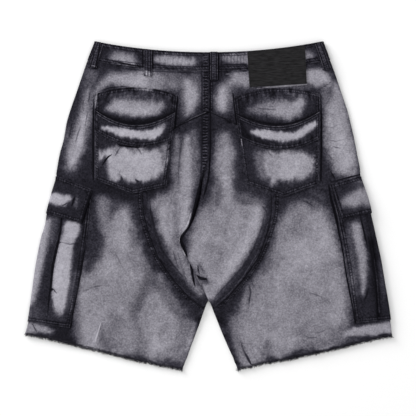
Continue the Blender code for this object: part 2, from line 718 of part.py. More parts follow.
def belt_loop_sections(loop):
    """A belt loop, slightly bowed away from the waistband between its two sewn ends."""
    slant = Vector((loop.foot_x - loop.top_x, loop.foot_y - loop.top_y)).normalized()
    across = Vector((slant.y, -slant.x)) * loop.width / 2
    sections = []
    for down in stations(0.0, 1.0, 4):
        x = mix(loop.top_x, loop.foot_x, down)
        y = mix(loop.top_y, loop.foot_y, down)
        z = loop.z + loop.bulge * arch(down)
        sections.append([(x + across.x, y + across.y, z), (x - across.x, y - across.y, z)])
    return sections


def patch_sections():
    """The plain patch, flat over the waistband and the panel below it."""
    top_left, top_right, foot_left, foot_right = PATCH_CORNERS
    sections = []
    for down in stations(0.0, 1.0, 2):
        left = (mix(top_left.x, foot_left.x, down), mix(top_left.y, foot_left.y, down))
        right = (mix(top_right.x, foot_right.x, down), mix(top_right.y, foot_right.y, down))
        sections.append([
            (mix(left[0], right[0], across), mix(left[1], right[1], across), PATCH_Z)
            for across in stations(0.0, 1.0, 3)
        ])
    return sections


def fly_sections():
    """The fly, under the left front: straight beside the centre seam, rounded at its foot."""
    sections = []
    for y in FLY_ROWS_Y:
        drop = max(0.0, (FLY_CURVE_Y - y) / (FLY_CURVE_Y - FLY_FOOT_Y))
        width = FLY_WIDTH * (1.0 - drop**2) ** 0.5
        row = []
        for across in stations(0.0, 1.0, 3):
            x = -SEAM - width * across
            row.append((x, y, front_z(x, y) - PLY))
        sections.append(row)
    return sections


def finish(name, look, metallic=0.0):
    """A material of the piece's own."""
    colour, roughness = look
    material = bpy.data.materials.new(name)
    material.use_nodes = True
    shader = material.node_tree.nodes["Principled BSDF"]
    shader.inputs["Base Color"].default_value = (*colour, 1.0)
    shader.inputs["Roughness"].default_value = roughness
    shader.inputs["Metallic"].default_value = metallic
    return material


def add_piece(name, mesh, material, collection):
    piece = bpy.data.objects.new(name, mesh)
    piece.data.materials.append(material)
    collection.objects.link(piece)
    return piece


def cloth(name, sections, wall, look, collection):
    """A cloth piece: a grid laid through the rows of points, then given its wall."""
    columns = len(sections[0]) - 1
    rows = len(sections) - 1
    grid = bmesh.new()
    bmesh.ops.create_grid(grid, x_segments=columns, y_segments=rows, size=0.5)
    for vertex in grid.verts:
        across = round((vertex.co.x + 0.5) * columns)
        along = round((vertex.co.y + 0.5) * rows)
        vertex.co = Vector(sections[along][across]) * MM
    mesh = bpy.data.meshes.new(name)
    grid.to_mesh(mesh)
    grid.free()
    piece = add_piece(name, mesh, finish(f"{name}_cloth", look), collection)
    solidify = piece.modifiers.new("wall", "SOLIDIFY")
    solidify.thickness = wall * MM
    solidify.offset = 0.0
    return piece


def button(collection):
    """The waist button, turned, with its face down."""
    mesh = bpy.data.meshes.new("button")
    points = [(radius * MM, 0.0, z * MM) for radius, z in BUTTON_PROFILE]
    mesh.from_pydata(points, [(i, i + 1) for i in range(len(points) - 1)], [])
    piece = add_piece("button", mesh, finish("button_metal", METAL, metallic=1.0), collection)
    piece.location = (0.0, BUTTON_Y * MM, 0.0)
    screw = piece.modifiers.new("turned", "SCREW")
    screw.steps = BUTTON_STEPS
    screw.render_steps = BUTTON_STEPS
    screw.use_merge_vertices = True
    screw.merge_threshold = 0.00001
    return piece


def clear_scene():
    for item in list(bpy.data.objects):
        bpy.data.objects.remove(item, do_unlink=True)


def main():
    clear_scene()
    shorts = bpy.data.collections.new("denim_cargo_shorts")
    bpy.context.scene.collection.children.link(shorts)
    for name, side in (("left", -1), ("right", 1)):
        cloth(f"front_leg_{name}", front_leg_sections(side), BODY_WALL, DENIM, shorts)
        cloth(f"back_leg_{name}", back_leg_sections(side), BODY_WALL, DENIM, shorts)
        cloth(f"back_inset_{name}", inset_sections(side), BODY_WALL, DENIM, shorts)
        pocket = BACK_POCKETS[name]
        cloth(f"pocket_backing_{name}", pocket_backing_sections(pocket), TRIM_WALL, DENIM, shorts)
        cloth(f"pocket_front_{name}", pocket_front_sections(pocket), TRIM_WALL, DENIM, shorts)
        cloth(f"pocket_band_{name}", pocket_band_sections(pocket), TRIM_WALL, DENIM, shorts)
        edges = CARGO_EDGES[name]
        cargo = cargo_pocket_sections(CARGO_POCKETS[name], edges)
        cloth(f"cargo_pocket_{name}", cargo, TRIM_WALL, DENIM, shorts)
        flap = cargo_flap_sections(CARGO_FLAPS[name], edges)
        cloth(f"cargo_flap_{name}", flap, TRIM_WALL, DARK_DENIM, shorts)
    cloth("waistband", waistband_sections(), BAND_WALL, DARK_DENIM, shorts)
    for loop in BELT_LOOPS:
        cloth(loop.name, belt_loop_sections(loop), LOOP_WALL, DARK_DENIM, shorts)
    cloth("patch", patch_sections(), PATCH_WALL, LEATHER, shorts)
    cloth("fly_flap", fly_sections(), TRIM_WALL, DARK_DENIM, shorts)
    button(shorts)


main()
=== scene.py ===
"""Washed-black denim cargo shorts, laid flat with the back up: the finished look.

The shorts' sizes are in millimetres and become metres where a piece is made; finishes, light and camera
are in metres. +X points to the wearer's right, +Y to the waist and +Z up. Every piece of cloth is a fine
grid of points on the form of its solid: front_z and back_z give the height of the two layers of the body,
and what is sewn on them stands a ply further out. On that form lie the creases, the puckers along the
seams, and the wash: strokes of wear, painted on each piece as one sands and bleaches it, light over the
middles and dark along the seams. A few strokes and the thin dark lines where cloth parts or folds are painted
shade; the thin pale lines on rubbed folds and edges, and the creases' darker troughs and lighter crowns, are
partly wear and partly painted shade and highlight.
"""

from collections import namedtuple
from math import pi, radians

import bmesh
import bpy
import numpy as np
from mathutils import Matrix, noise


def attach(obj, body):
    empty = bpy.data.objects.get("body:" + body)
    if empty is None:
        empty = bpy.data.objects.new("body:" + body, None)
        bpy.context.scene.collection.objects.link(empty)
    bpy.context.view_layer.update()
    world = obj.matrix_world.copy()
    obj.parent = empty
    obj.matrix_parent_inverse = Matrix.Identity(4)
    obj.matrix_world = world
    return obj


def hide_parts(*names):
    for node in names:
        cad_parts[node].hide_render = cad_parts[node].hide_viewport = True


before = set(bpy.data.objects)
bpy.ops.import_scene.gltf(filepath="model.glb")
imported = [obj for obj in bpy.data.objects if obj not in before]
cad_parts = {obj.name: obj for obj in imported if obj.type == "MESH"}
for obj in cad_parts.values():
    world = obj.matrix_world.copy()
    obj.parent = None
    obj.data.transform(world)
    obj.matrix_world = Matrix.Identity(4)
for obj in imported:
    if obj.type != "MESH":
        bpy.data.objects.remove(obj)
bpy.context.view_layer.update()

MM = 0.001


def table(fields, *rows):
    """Rows of sizes, whose columns have names."""
    row = namedtuple("Row", fields)
    return tuple(row(*sizes) for sizes in rows)


# ---------------- sizes

# Walls, plies and the room between two pieces at a seam.
BODY_WALL = 1.0
TRIM_WALL = 0.9
BAND_WALL = 2.0
LOOP_WALL = 1.2
PATCH_WALL = 1.3
PLY = 1.6
FOLD_PLY = 1.3
SEAM = 0.15
REST = 0.6

# The waistband, whose front ends lap at the button.
BACK_TOP = 269.9
BACK_SEAM = 237.8
FRONT_TOP = 262.0
FRONT_SEAM = 228.5
SIDE_TOP = 288.8
SIDE_SEAM = 256.0
BAND_TOP_HALF = 201.9
BAND_SEAM_HALF = 211.8
BAND_FRONT_Z = 3.6
BAND_UNDERLAP_Z = 6.1
BAND_BACK_Z = 9.0
LAP = 20.0
LAP_RAMP_START = 30.0
LAP_RAMP = 48.0

# The legs' ends and folds.
CROTCH_Y = -165.4
INSEAM_SLOPE = 0.395
HEM_SIDE_Y = -228.4
HEM_INNER_Y = -288.6
SIDE_FOLD = 1.8
WAIST_FOLD = 2.7
WAIST_FOLD_FROM_Y = 190.0
TURN_END = 0.93

# Where the front lifts off the floor, and the lengths over which heights change.
FRONT_LIFT = 3.0
WAIST_RUN = 63.0
SHELF = 70.0
SHELF_RUN = 56.0
FLY_MARGIN = 8.0
FLY_RUN = 45.0
SIDE_RUN = 110.0
INNER_RUN = 70.0

# The back's relief keeps this far from its folds and this high above the floor.
CALM_EDGE = 3.0
LOWEST_BACK = 3.3

# The seat, folded over itself along the centre.
OVERLAP = 9.0
EDGE_LIFT = 0.9
EDGE_LIFT_RUN = 45.0
EDGE_DROP = 1.2
EDGE_ROLL = 1.6
VALLEY = 4.6
VALLEY_FLOOR = 6.0
VALLEY_BANK = 13.0
SEAM_RUN = 12.0
INSET_MARGIN = 20.0

# The cargo pockets' pleats and flaps.
FRONT_HALF = 60.0
PLEAT_DEPTH = 9.0
PLEAT_CLEAR = 2.0
FLAP_PROUD = 5.8
FLAP_SIDE = 3.05
FLAP_RISE = 22.0
FLAP_BEYOND_PLEAT = 4.0

# Distances of the two rows of stitches from a seam, and how strongly puckers show between them.
STITCH_ROWS = (2.2, 6.6)
LADDER_TONE = 0.13

# Repeats of the puckers along a seam and the centre seam, and of the twill, in metres.
RUNG = 0.0046
CENTRE_RUNG = 0.0052
TWILL = 0.0019

# How far the cloth's edges lie off their even line, in x, by y, and how far in from them this is felt.
SHIFT_REACH = 50.0
SHIFT_RUN = 45.0
SIDE_SHIFT = {
    "left": (
        (285, 3.4), (270, 1.8), (250, 0.6), (200, 0.3), (150, 0.2), (118, 1.7), (88, -0.7), (60, -1.5),
        (44, 1.6), (15, 0.6), (-12, 0.2), (-30, 1.5), (-60, -0.6), (-100, 0), (-165, 1.4), (-195, 1.6),
        (-225, -0.4)),
    "right": (
        (285, -1.6), (265, 0), (225, 1.1), (180, 0.9), (140, 0), (95, 0), (68, 1.4), (45, -0.6), (15, 1.6),
        (0, 2), (-20, 0.9), (-75, 1.2), (-120, 0.7), (-165, 1.7), (-190, 1.8), (-225, 0.6)),
}
INSEAM_SHIFT = {
    "left": ((-160, -1), (-180, -1.5), (-210, -0.2), (-240, 0.3), (-260, 1.8), (-288, 2.2)),
    "right": ((-160, 1.2), (-180, 1.9), (-225, 2.2), (-250, 2.8), (-288, 3.2)),
}
# How far the hems are cut above their even line, by x.
HEM_RISE = (
    (-321, 2.2), (-300, 4.2), (-275, 4.2), (-250, 3.2), (-200, 2.4), (-160, 1.2), (-120, 1), (-60, 1.4),
    (0, 1.4), (60, 2), (105, 1.4), (130, 0), (150, -1.2), (170, -0.6), (215, -1.2), (235, -0.6), (260, 0.4),
    (300, 1.2), (321, -0.6))

# The side folds, the back's heights and the back panels' edges, from the waist down.
SIDE = table(
    "y x lift",
    (255.7, 212, 1), (204, 229.5, 0.55), (151, 247, 0.4), (99, 258.4, 0.6), (57, 264.8, 0.95), (36, 269.6, 1),
    (-6, 280, 1), (-59, 291.8, 1), (-111, 302.4, 1), (-164, 310.9, 1), (-213, 318.1, 1),
    (HEM_SIDE_Y, 320.5, 0.55))
BACK_HEIGHTS = table(
    "y crown inner",
    (256, 9, 9), (208, 9.2, 9.1), (150, 10, 9.8), (90, 10.8, 10.4), (0, 11.2, 11), (-60, 11, 10.4),
    (-120, 10, 8.4), (-165, 8.4, 6), (-228, 5.2, 4.8), (-288, 3.4, 4.2))
BACK_ROWS = table(
    "side_y seam_x seam_y centre_y",
    (255.7, 0, 237.5, 237.5), (204, 0, 203, 203), (158, 0, 165.4, 165.4), (142, 26, 153.5, 150),
    (128, 52, 141, 135), (110, 82, 122, 115), (84, 103, 95, 90), (55, 114, 60, 55), (22, 116, 22, 20),
    (-12, 114, -12, -17), (-50, 104, -49, -57.8), (-90, 87, -92, -95), (-122, 61, -129, -128),
    (-150, 33.5, -160.5, -152), (-168, 5.6, -179.5, -175), (-198, 24.7, -228, -228),
    (HEM_SIDE_Y, 48.5, HEM_INNER_Y, HEM_INNER_Y))
INSET_TOP = 2
INSET_FOOT = 14
HEM_ROW = 16
SEAM_STEP = 0.05
INSET_TIP = 0.12
WAIST_BOW_ROWS = 3
FRONT_ROWS = table(
    "number inner_y",
    (0, 228.2), (1, 178), (2, 135), (6, 62), (8, 0), (10, -72), (12, -130), (14, CROTCH_Y), (15, -227),
    (16, HEM_INNER_Y))
SEAT_FOLD = table(
    "y x",
    (84, 0), (60, -9.6), (20, -16.6), (-27, -30.6), (-57.8, -51), (-90, -37.6), (-120, -21.9), (-148, -7.9),
    (CROTCH_Y, 0))
SEAT_APART, SEAT_OVERLAP, SEAT_VALLEY = table(
    "starts full fades gone", (112, 84, -151, CROTCH_Y), (84, 54, -116, -150), (84, 58, 2, -58))

# Back pockets, left and then right: corners, the arch of the top, the foot's tip, and the mouth and the
# foot of the band along it.
BACK_POCKETS = table(
    "side inner_top_x inner_top_y outer_top_x outer_top_y top_arch inner_foot_x inner_foot_y outer_foot_x"
    " outer_foot_y tip tip_y mouth_inner_y mouth_outer_y mouth_sag band_inner_y band_outer_y band_sag",
    (-1, 55.1, 194.7, 198.6, 196.9, 13, 73.5, 35.9, 199.2, 47.1, 0.465, 23.1, 164.2, 169, 25, 116.4, 133, 19),
    (1, 44.6, 189.9, 194.6, 196.5, 14, 64.6, 41.1, 193.7, 40, 0.504, 17.9, 161, 166, 23.5, 120, 119, 19.7))
BACKING_HIDDEN = 10.0
MOUTH_LIP = 16.0
MOUTH_RAMP = 34.0

# Cargo pockets and their flaps, left and then right, and each pocket's inner edge and pleat by y.
CARGO_POCKETS = table(
    "side top_inner_y top_side_y foot_inner_y foot_side_y",
    (-1, 12, 20, -212.1, -201.4), (1, 12, 20, -202.8, -198.1))
CARGO_FLAPS = table(
    "side top_inner_x top_inner_y top_side_y foot_inner_x foot_inner_y foot_side_y",
    (-1, 202.3, 29.4, 52.7, 221.9, -29.6, -12.4), (1, 212.3, 37.6, 52.7, 231.9, -23.1, -11.4))
CARGO_EDGES = (
    table("y inner_x pleat_x", (27, 204.8, 243.5), (-26, 210.2, 255.7), (-84, 218.4, 269.7),
          (-130, 225.6, 276.7), (-212, 243.3, 281.6)),
    table("y inner_x pleat_x", (25, 214.5, 258), (-17, 226, 271.3), (-57, 234.2, 281.5), (-102, 242.2, 289),
          (-203, 257.3, 294.5)))

LOOP_OVER = 11.0
LOOP_UNDER = 1.6
BELT_LOOPS = table(
    "name top_x top_y foot_x foot_y width z bulge",
    ("belt_loop_back_left", -106, 273.5, -106, 228, 14, LOOP_OVER, 0.8),
    ("belt_loop_centre", 9.5, 270.5, 9.5, 222, 12.6, LOOP_OVER, 0.8),
    ("belt_loop_side_left", -192.5, 285.5, -203, 243, 13, LOOP_OVER, 0.6),
    ("belt_loop_side_right", 193.2, 285.5, 207, 241, 12, LOOP_OVER, 0.6),
    ("belt_loop_front_left", -110, 269, -110, 225.5, 13, LOOP_UNDER, -0.5),
    ("belt_loop_front_right", 110, 269, 110, 225.5, 13, LOOP_UNDER, -0.5))

PATCH_CORNERS = table("x y", (67.7, 270.9), (168.5, 281.6), (71.8, 208.9), (171.9, 214.7))
PATCH_Z = 11.1

FLY_WIDTH = 38.0
FLY_LAP = 0.7
FLY_TOP_Y = 228.2
FLY_CURVE_Y = 112.0
FLY_FOOT_Y = 78.0

BUTTON_Y = 245.0
BUTTON_TOP = 2.2

# ---------------- the wash, with painted shade and highlights

# A brush stroke runs through dabs of its own half widths and sets the wear to `tone`, 0 for unworn
# black and 1 for the palest; a few strokes, marked below, are painted shadow instead of wear. `soft` is the
# width of its fade and `ragged` how far its edge wanders.
Stroke = namedtuple("Stroke", "tone soft ragged dabs")


def stroke(tone, soft, ragged, *dabs):
    return Stroke(tone, soft, ragged, dabs)


def along_seam(side, half, *wider):
    """Dabs along an inset's curved seam; `wider` replaces the half width at a row."""
    widths = dict(wider)
    return [(side * row.seam_x, row.seam_y, widths.get(number, half))
            for number, row in enumerate(BACK_ROWS) if INSET_TOP <= number <= INSET_FOOT]


def front_edges(side):
    """What stays dark on a front: beside the centre and the inseam, and along the hem."""
    return (
        stroke(0.04, 10, 4, (0, 230, 10), (side * 2, 100, 12), (side * 6, -60, 12), (side * 6, -165, 16),
               (side * 30, -235, 8), (side * 48, -288, 8)),
        stroke(0.1, 9, 5, (side * 48, -288, 6), (side * 180, -262, 6), (side * 320, -230, 9)))


WASH_AND_SHADE = {}
WASH_AND_SHADE["back_leg_left"] = [
    # over the back pocket, and down beside the centre seam
    stroke(0.4, 12, 4, (-94, 232, 7), (-66, 227, 10), (-52, 222, 10), (-44, 214, 10)),
    stroke(0.74, 7, 3, (-202, 178, 2), (-197.5, 197, 4.5), (-188, 212, 5.5), (-170, 224.5, 9),
        (-142, 221.5, 14), (-118, 217, 17), (-98, 214, 15)),
    stroke(0.84, 8, 4, (-128, 219, 7), (-106, 217, 12)),
    stroke(0.62, 4, 3, (-120, 234, 5), (-98, 232, 8)),
    stroke(0.84, 5, 3, (-110, 222, 10), (-102, 220, 10)),
    stroke(0.56, 10, 4, (-98, 216, 11), (-78, 217, 9), (-60, 213, 8)),
    stroke(0.4, 8, 3, (-24, 232, 6), (-21, 210, 7), (-21, 188, 5)),
    stroke(0.78, 7, 3, (-37, 216, 7), (-32, 204, 12), (-31, 188, 13.5), (-34, 172, 10), (-38, 163, 4)),
    # down the side
    stroke(0.32, 6, 4, (-246, 136, 5), (-251, 116, 5)),
    stroke(0.42, 9, 4, (-205, 232, 7), (-208, 216, 8)),
    stroke(0.34, 9, 4, (-205, 238, 7), (-209, 206, 8), (-214, 178, 9), (-219, 150, 9), (-226, 122, 12),
        (-235, 94, 14), (-241, 70, 8)),
    stroke(0.64, 6, 3, (-212, 200, 3), (-214, 180, 5.5), (-217, 158, 7)),
    stroke(0.84, 7, 3, (-218, 152, 7), (-224, 126, 9.5), (-231, 104, 11), (-238, 86, 10.5), (-241, 74, 6)),
    # the leg
    stroke(0.55, 9, 4, (-183, 9, 12), (-184, -15, 11), (-177, -44, 10), (-172, -60, 9)),
    stroke(0.26, 9, 4, (-158, 6, 8), (-138, 4, 8)),
    stroke(0.67, 9, 5, (-152, -20, 14), (-153, -48, 25), (-150, -76, 32), (-156, -104, 44), (-166, -134, 63),
        (-169, -190, 58), (-171, -225, 58)),
    stroke(0.5, 8, 4, (-116, -92, 6), (-104, -114, 6)),
    stroke(0.65, 9, 5, (-152, -150, 30), (-98, -182, 36), (-88, -218, 46), (-86, -255, 34)),
    stroke(0.52, 8, 3, (-38, -208, 11), (-41, -232, 15), (-50, -262, 14)),
    stroke(0.7, 4, 2, (-25, -205, 3), (-31, -230, 4), (-38, -252, 3)),
    stroke(0.78, 10, 4, (-146, -12, 6), (-143, -40, 7), (-150, -70, 8), (-170, -110, 12)),
    stroke(0.74, 9, 4, (-217, -155, 8), (-217, -190, 8), (-209, -230, 9)),
    stroke(0.76, 9, 4, (-96, -214, 8), (-90, -246, 12)),
    stroke(0.74, 8, 4, (-86, -162, 4), (-80, -182, 6)),
    stroke(0.44, 8, 4, (-86, -124, 8), (-78, -143, 10), (-63, -168, 9), (-48, -183, 8)),
    stroke(0.52, 9, 4, (-100, -122, 6), (-113, -150, 7), (-125, -176, 7)),
    stroke(0.47, 9, 4, (-125, -176, 6), (-127, -200, 8), (-119, -228, 6), (-116, -250, 5)),
    stroke(0.38, 7, 4, (-186, -210, 1), (-184, -238, 7), (-176, -251, 7)),
    stroke(0.5, 8, 4, (-164, -190, 5), (-166, -212, 7), (-163, -236, 6)),
    stroke(0.56, 9, 4, (-134, -86, 4), (-128, -104, 5)),
    stroke(0.58, 9, 4, (-164, -82, 8), (-156, -96, 8)),
    stroke(0.34, 8, 4, (-134, -42, 4), (-127, -64, 5)),
    stroke(0.42, 7, 4, (-228, -185, 3), (-231, -228, 5)),
    stroke(0.56, 9, 4, (-164, -246, 7), (-138, -244, 8)),
    # kept dark
    stroke(0.13, 9, 4, (-212, 6, 6), (-207, -30, 8), (-202, -60, 12), (-203, -86, 13), (-212, -108, 9)),
    stroke(0.05, 9, 4, (-210, 38, 13), (-165, 24, 10), (-126, 12, 9), (-100, 10, 9), (-84, 24, 10)),
    stroke(0.1, 8, 4, *along_seam(-1, 7, (9, 13), (10, 10), (11, 6), (12, 4), (13, 6), (14, 11))),
    stroke(0.06, 9, 4, (-6, -176, 12), (-14, -188, 7)),
    stroke(0.05, 6, 4, (-242, -208, 3), (-252, -230, 8), (-236, -236, 6)),
    stroke(0.05, 5, 4, (-318, -229, 2), (-292, -230, 5), (-262, -228, 9)),
    stroke(0.12, 7, 6, (-200, -257, 1), (-176, -260, 2), (-158, -262, 4), (-136, -265, 7), (-116, -267, 8),
        (-102, -275, 2), (-88, -273, 5), (-72, -273, 6), (-58, -279, 6), (-47, -280, 6)),
    stroke(0.68, 4, 4, (-320, -214, 10), (-300, -213, 8), (-284, -216, 6), (-274, -219, 2)),
    stroke(0.04, 2, 3.5, (-321, -227.5, 1.2), (-270, -238.5, 1.6), (-207, -253.5, 1.8), (-150, -266.5, 2.6),
        (-102, -277, 2.4), (-49, -288, 2.6)),
]
WASH_AND_SHADE["back_leg_right"] = [
    stroke(0.26, 10, 4, (36, 206, 7), (40, 190, 7), (40, 172, 3)),
    stroke(0.8, 7, 3, (26.5, 204, 8.5), (24, 190, 12), (23, 174, 10), (23, 167, 4)),
    stroke(0.7, 8, 3, (40, 217, 7), (50, 225, 12), (64, 222, 12.5), (96, 224, 10)),
    stroke(0.8, 6, 3, (178, 227, 13.5), (192, 225.5, 16), (203, 224, 11), (208, 216, 7)),
    stroke(0.4, 6, 3, (112, 208, 3), (140, 210, 3), (172, 210, 5)),
    stroke(0.46, 7, 3, (204, 208, 6), (204, 196, 6), (207, 180, 7)),
    stroke(0.72, 8, 4, (224, 210, 6), (227, 192, 11), (224, 168, 19), (226, 148, 24), (230, 124, 26),
        (234, 99, 26), (239, 74, 22), (246, 60, 13)),
    stroke(0.84, 8, 4, (223, 142, 7), (231, 108, 9), (239, 78, 10)),
    stroke(0.3, 5, 4, (246, 152, 1), (251, 134, 4), (257, 112, 3)),
    stroke(0.6, 5, 4, (206, 128, 3), (205, 108, 3)),
    stroke(0.14, 8, 4, (225, 44, 8), (258, 40, 6)),
    # the leg
    stroke(0.64, 10, 5, (164, -19, 27), (166, -54, 53), (165, -84, 62), (158, -112, 66), (156, -140, 79),
        (153, -176, 93), (149, -205, 94)),
    stroke(0.4, 7, 4, (184, 4, 5), (200, -6, 7), (210, -18, 5)),
    stroke(0.66, 8, 4, (220, -78, 9), (226, -90, 7)),
    stroke(0.34, 8, 4, (229, -106, 11), (236, -134, 8), (243, -168, 5)),
    stroke(0.66, 9, 5, (100, -185, 44), (94, -235, 46), (84, -262, 34)),
    stroke(0.76, 12, 5, (192, -18, 8), (200, -42, 14), (200, -76, 20), (160, -84, 24)),
    stroke(0.74, 12, 5, (224, -110, 8), (230, -160, 12), (222, -190, 8)),
    stroke(0.74, 12, 5, (112, -232, 10), (136, -236, 10)),
    stroke(0.7, 12, 5, (130, -120, 20), (180, -130, 16)),
    stroke(0.48, 10, 4, (158, -26, 7), (150, -40, 5)),
    stroke(0.4, 10, 4, (110, -68, 5), (104, -96, 9), (92, -116, 6)),
    stroke(0.52, 10, 4, (80, -140, 6), (70, -172, 8), (60, -196, 7)),
    stroke(0.54, 9, 4, (45, -200, 7), (48, -222, 8), (58, -250, 10)),
    stroke(0.58, 10, 4, (150, -148, 5), (178, -160, 5)),
    stroke(0.6, 10, 4, (96, -190, 4), (110, -210, 5)),
    stroke(0.4, 8, 4, (104, -236, 3), (98, -256, 6)),
    stroke(0.46, 8, 4, (236, -208, 5), (226, -218, 6)),
    stroke(0.14, 9, 4, (58, 34, 9), (90, 24, 10), (128, 22, 7), (160, 30, 8), (196, 38, 11), (218, 20, 5)),
    stroke(0.24, 7, 4, (184, 26, 4), (198, 14, 5)),
    stroke(0.1, 7, 4, *along_seam(1, 6, (8, 8), (9, 9), (10, 10), (11, 13), (12, 12), (13, 9), (14, 10))),
    stroke(0.05, 9, 4, (12, -178, 12), (20, -192, 8), (26, -204, 2)),
    stroke(0.1, 4, 3, (26, -212, 2), (38, -244, 3), (46, -266, 4), (53, -284, 5)),
    stroke(0.46, 8, 6, (164, -220, 4), (180, -238, 7), (206, -236, 7), (228, -230, 6)),
    stroke(0.12, 8, 5, (146, -262, 3), (164, -253, 8), (184, -252, 3)),
    stroke(0.12, 6, 6, (84, -279, 1), (98, -270, 4), (108, -266, 6), (126, -268, 3), (148, -264, 4)),
    stroke(0.28, 8, 5, (230, -240, 5), (262, -236, 3)),
    stroke(0.74, 3, 3, (240, -224, 4.5), (258, -219, 8), (286, -216, 9.5), (320, -212, 11)),
    stroke(0.02, 2.2, 3.5, (49, -287.5, 3), (87, -281, 2.2), (112, -274.5, 3.2), (150, -265.5, 5),
        (180, -259, 5), (213, -252, 4.6), (240, -245.5, 4), (262, -240, 3.8), (290, -233.5, 3.6),
        (306, -229, 4.4), (321, -228, 3.8)),
]
WASH_AND_SHADE["back_inset_left"] = [
    stroke(0.42, 8, 3, (-26, 128, 5), (-24, 95, 9), (-24, 62, 9), (-24, 40, 4)),
    stroke(0.48, 5, 3, (-55, 124, 4), (-57, 95, 6), (-57, 60, 7), (-60, 38, 7)),
    stroke(0.74, 6, 2, (-38, 120, 5), (-39, 100, 9), (-39, 75, 10.5), (-39, 50, 11.5), (-41, 25, 13)),
    stroke(0.54, 8, 3, (-64, 17, 8), (-86, 13, 9), (-95, 3, 8)),
    stroke(0.66, 8, 3, (-50, 10, 17), (-61, -12, 30), (-63, -34, 26), (-60, -60, 17), (-54, -84, 14),
        (-44, -108, 11), (-30, -132, 7), (-14, -152, 5)),
    stroke(0.78, 8, 3, (-80, -8, 7), (-75, -36, 8), (-69, -58, 4)),
    stroke(0.78, 5, 2, (-38, 8, 5), (-41, -18, 6), (-46, -38, 5)),
    stroke(0.5, 4, 3, (-58, 40, 3), (-57, 0, 3), (-55, -30, 3)),
    stroke(0.42, 7, 3, (-55, -42, 4), (-55, -58, 6), (-53, -70, 3)),
    stroke(0.36, 4, 3, (-56, -84, 2), (-46, -106, 2), (-40, -124, 1)),
    stroke(0.46, 5, 3, (-32, -104, 3), (-26, -124, 2)),
    stroke(0.1, 7, 3, *along_seam(-1, 6, (8, 7), (9, 9), (10, 12), (11, 14), (12, 14), (13, 11), (14, 8))),
    stroke(0.05, 6, 2, (-3, 165, 12), (-4, 130, 9), (-4, 100, 7)),
    stroke(0.12, 6, 2, (-4, 100, 7), (-5, 66, 5), (-12, 30, 2)),
    stroke(0.05, 7, 3, (-70, 46, 7), (-95, 34, 10), (-112, 26, 10)),
]
WASH_AND_SHADE["back_inset_right"] = [
    stroke(0.64, 8, 3, (27, 116, 13), (29, 92, 18), (27, 62, 17), (31, 41, 14), (33, 15, 13)),
    stroke(0.72, 7, 3, (30, 96, 6), (28, 70, 6), (34, 36, 6), (33, 14, 6)),
    stroke(0.46, 7, 3, (10, 30, 5), (8, 10, 9), (-2, -8, 8)),
    stroke(0.6, 8, 4, (-10, -12, 8), (-18, -34, 8), (-24, -54, 8)),
    stroke(0.4, 8, 4, (52, 20, 5), (74, 14, 8), (90, 8, 7)),
    stroke(0.68, 8, 4, (56, -4, 9), (70, -6, 10)),
    stroke(0.7, 8, 4, (34, -14, 26), (30, -40, 45), (18, -66, 49), (12, -90, 44), (8, -112, 31),
        (7, -134, 18), (3, -156, 8)),
    stroke(0.74, 8, 3, (-26, -74, 7), (-30, -90, 6)),
    stroke(0.72, 11, 4, (40, -30, 10), (20, -56, 12)),
    stroke(0.8, 7, 3, (85, -8, 12), (80, -30, 14), (69, -58, 12), (55, -82, 11), (39, -106, 7),
        (22, -132, 5)),
    stroke(0.56, 8, 4, (8, -6, 8), (10, -30, 8)),
    stroke(0.72, 4, 2, (-8, -106, 4), (-6, -114, 3)),
    stroke(0.72, 4, 2, (-4, -138, 5), (-3, -156, 4)),
    stroke(0.42, 6, 3, (17, 38, 3), (18, 4, 4)),
    stroke(0.58, 10, 4, (-4, -70, 5), (24, -84, 7), (10, -100, 5)),
    stroke(0.1, 7, 3, *along_seam(1, 6, (8, 7), (9, 8), (10, 9), (11, 9), (12, 10), (13, 10), (14, 8))),
    stroke(0.05, 6, 2, (2, 165, 8), (2, 130, 7), (0, 100, 5)),
    # painted shade: the dark valley beside the seat's fold, and the shadow under the fold's corner
    stroke(0.16, 6, 2, (0, 96, 4), (-5, 60, 3.5), (-12, 30, 4.5), (-20, 4, 1)),
    stroke(0.05, 5, 2, (-46, -50, 1), (-49, -57, 3.5)),
    stroke(0.04, 4, 2, (-47, -58, 4), (-42, -70, 2), (-38, -80, 1)),
    stroke(0.1, 4, 3, (-35, -106, 1.5), (-30, -122, 1.5)),
    # painted shade in two small creases of the seat
    stroke(0.4, 5, 3, (-16, -103, 3), (-10, -113, 2)),
    stroke(0.24, 6, 3, (-13, -127, 4), (-4, -131, 4)),
    stroke(0.16, 8, 3, (50, 40, 4), (76, 31, 4), (106, 28, 8)),
]
WASH_AND_SHADE["waistband"] = [
    stroke(0.68, 6, 3, (-161, 262, 9), (-151, 258.5, 11.5), (-139, 255.5, 10.5), (-132, 252, 6)),
    stroke(0.78, 5, 3, (-90, 258, 5), (-66, 255, 8.5), (-44, 253.5, 8.5), (-27, 253, 6)),
    stroke(0.24, 5, 3, (-18, 258, 3), (-8, 259, 4)),
    stroke(0.66, 5, 3, (30, 259, 6), (45, 260, 9), (70, 259, 10), (84, 259, 8)),
    stroke(0.62, 5, 3, (172, 266, 7), (181, 265, 3)),
    stroke(0.22, 8, 3, (-203, 244, 4), (-201, 258, 2)),
    stroke(0.2, 5, 2, (-150, 243, 2), (-96, 242, 3), (-60, 240, 2), (-20, 240, 2)),
]
WASH_AND_SHADE["pocket_backing_left"] = [
    stroke(0.7, 2, 1.5, (-126, 207, 3), (-112, 206, 3), (-100, 205, 2)),
    stroke(0.26, 7, 3, (-164, 194, 5), (-120, 195, 5), (-98, 190, 4)),
    stroke(0.7, 5, 3, (-172, 171, 6), (-158, 176, 13), (-140, 173, 14), (-115, 171, 14), (-96, 170, 13.5),
        (-84, 177, 7)),
    stroke(0.8, 7, 3, (-150, 170, 6), (-110, 167, 6)),
    # painted shadow on the backing just above the pocket's mouth
    stroke(0.01, 4, 1.5, (-200, 168, 4), (-172, 154, 4), (-140, 147, 6), (-112, 147, 6), (-86, 156, 4),
        (-56, 164, 4)),
]
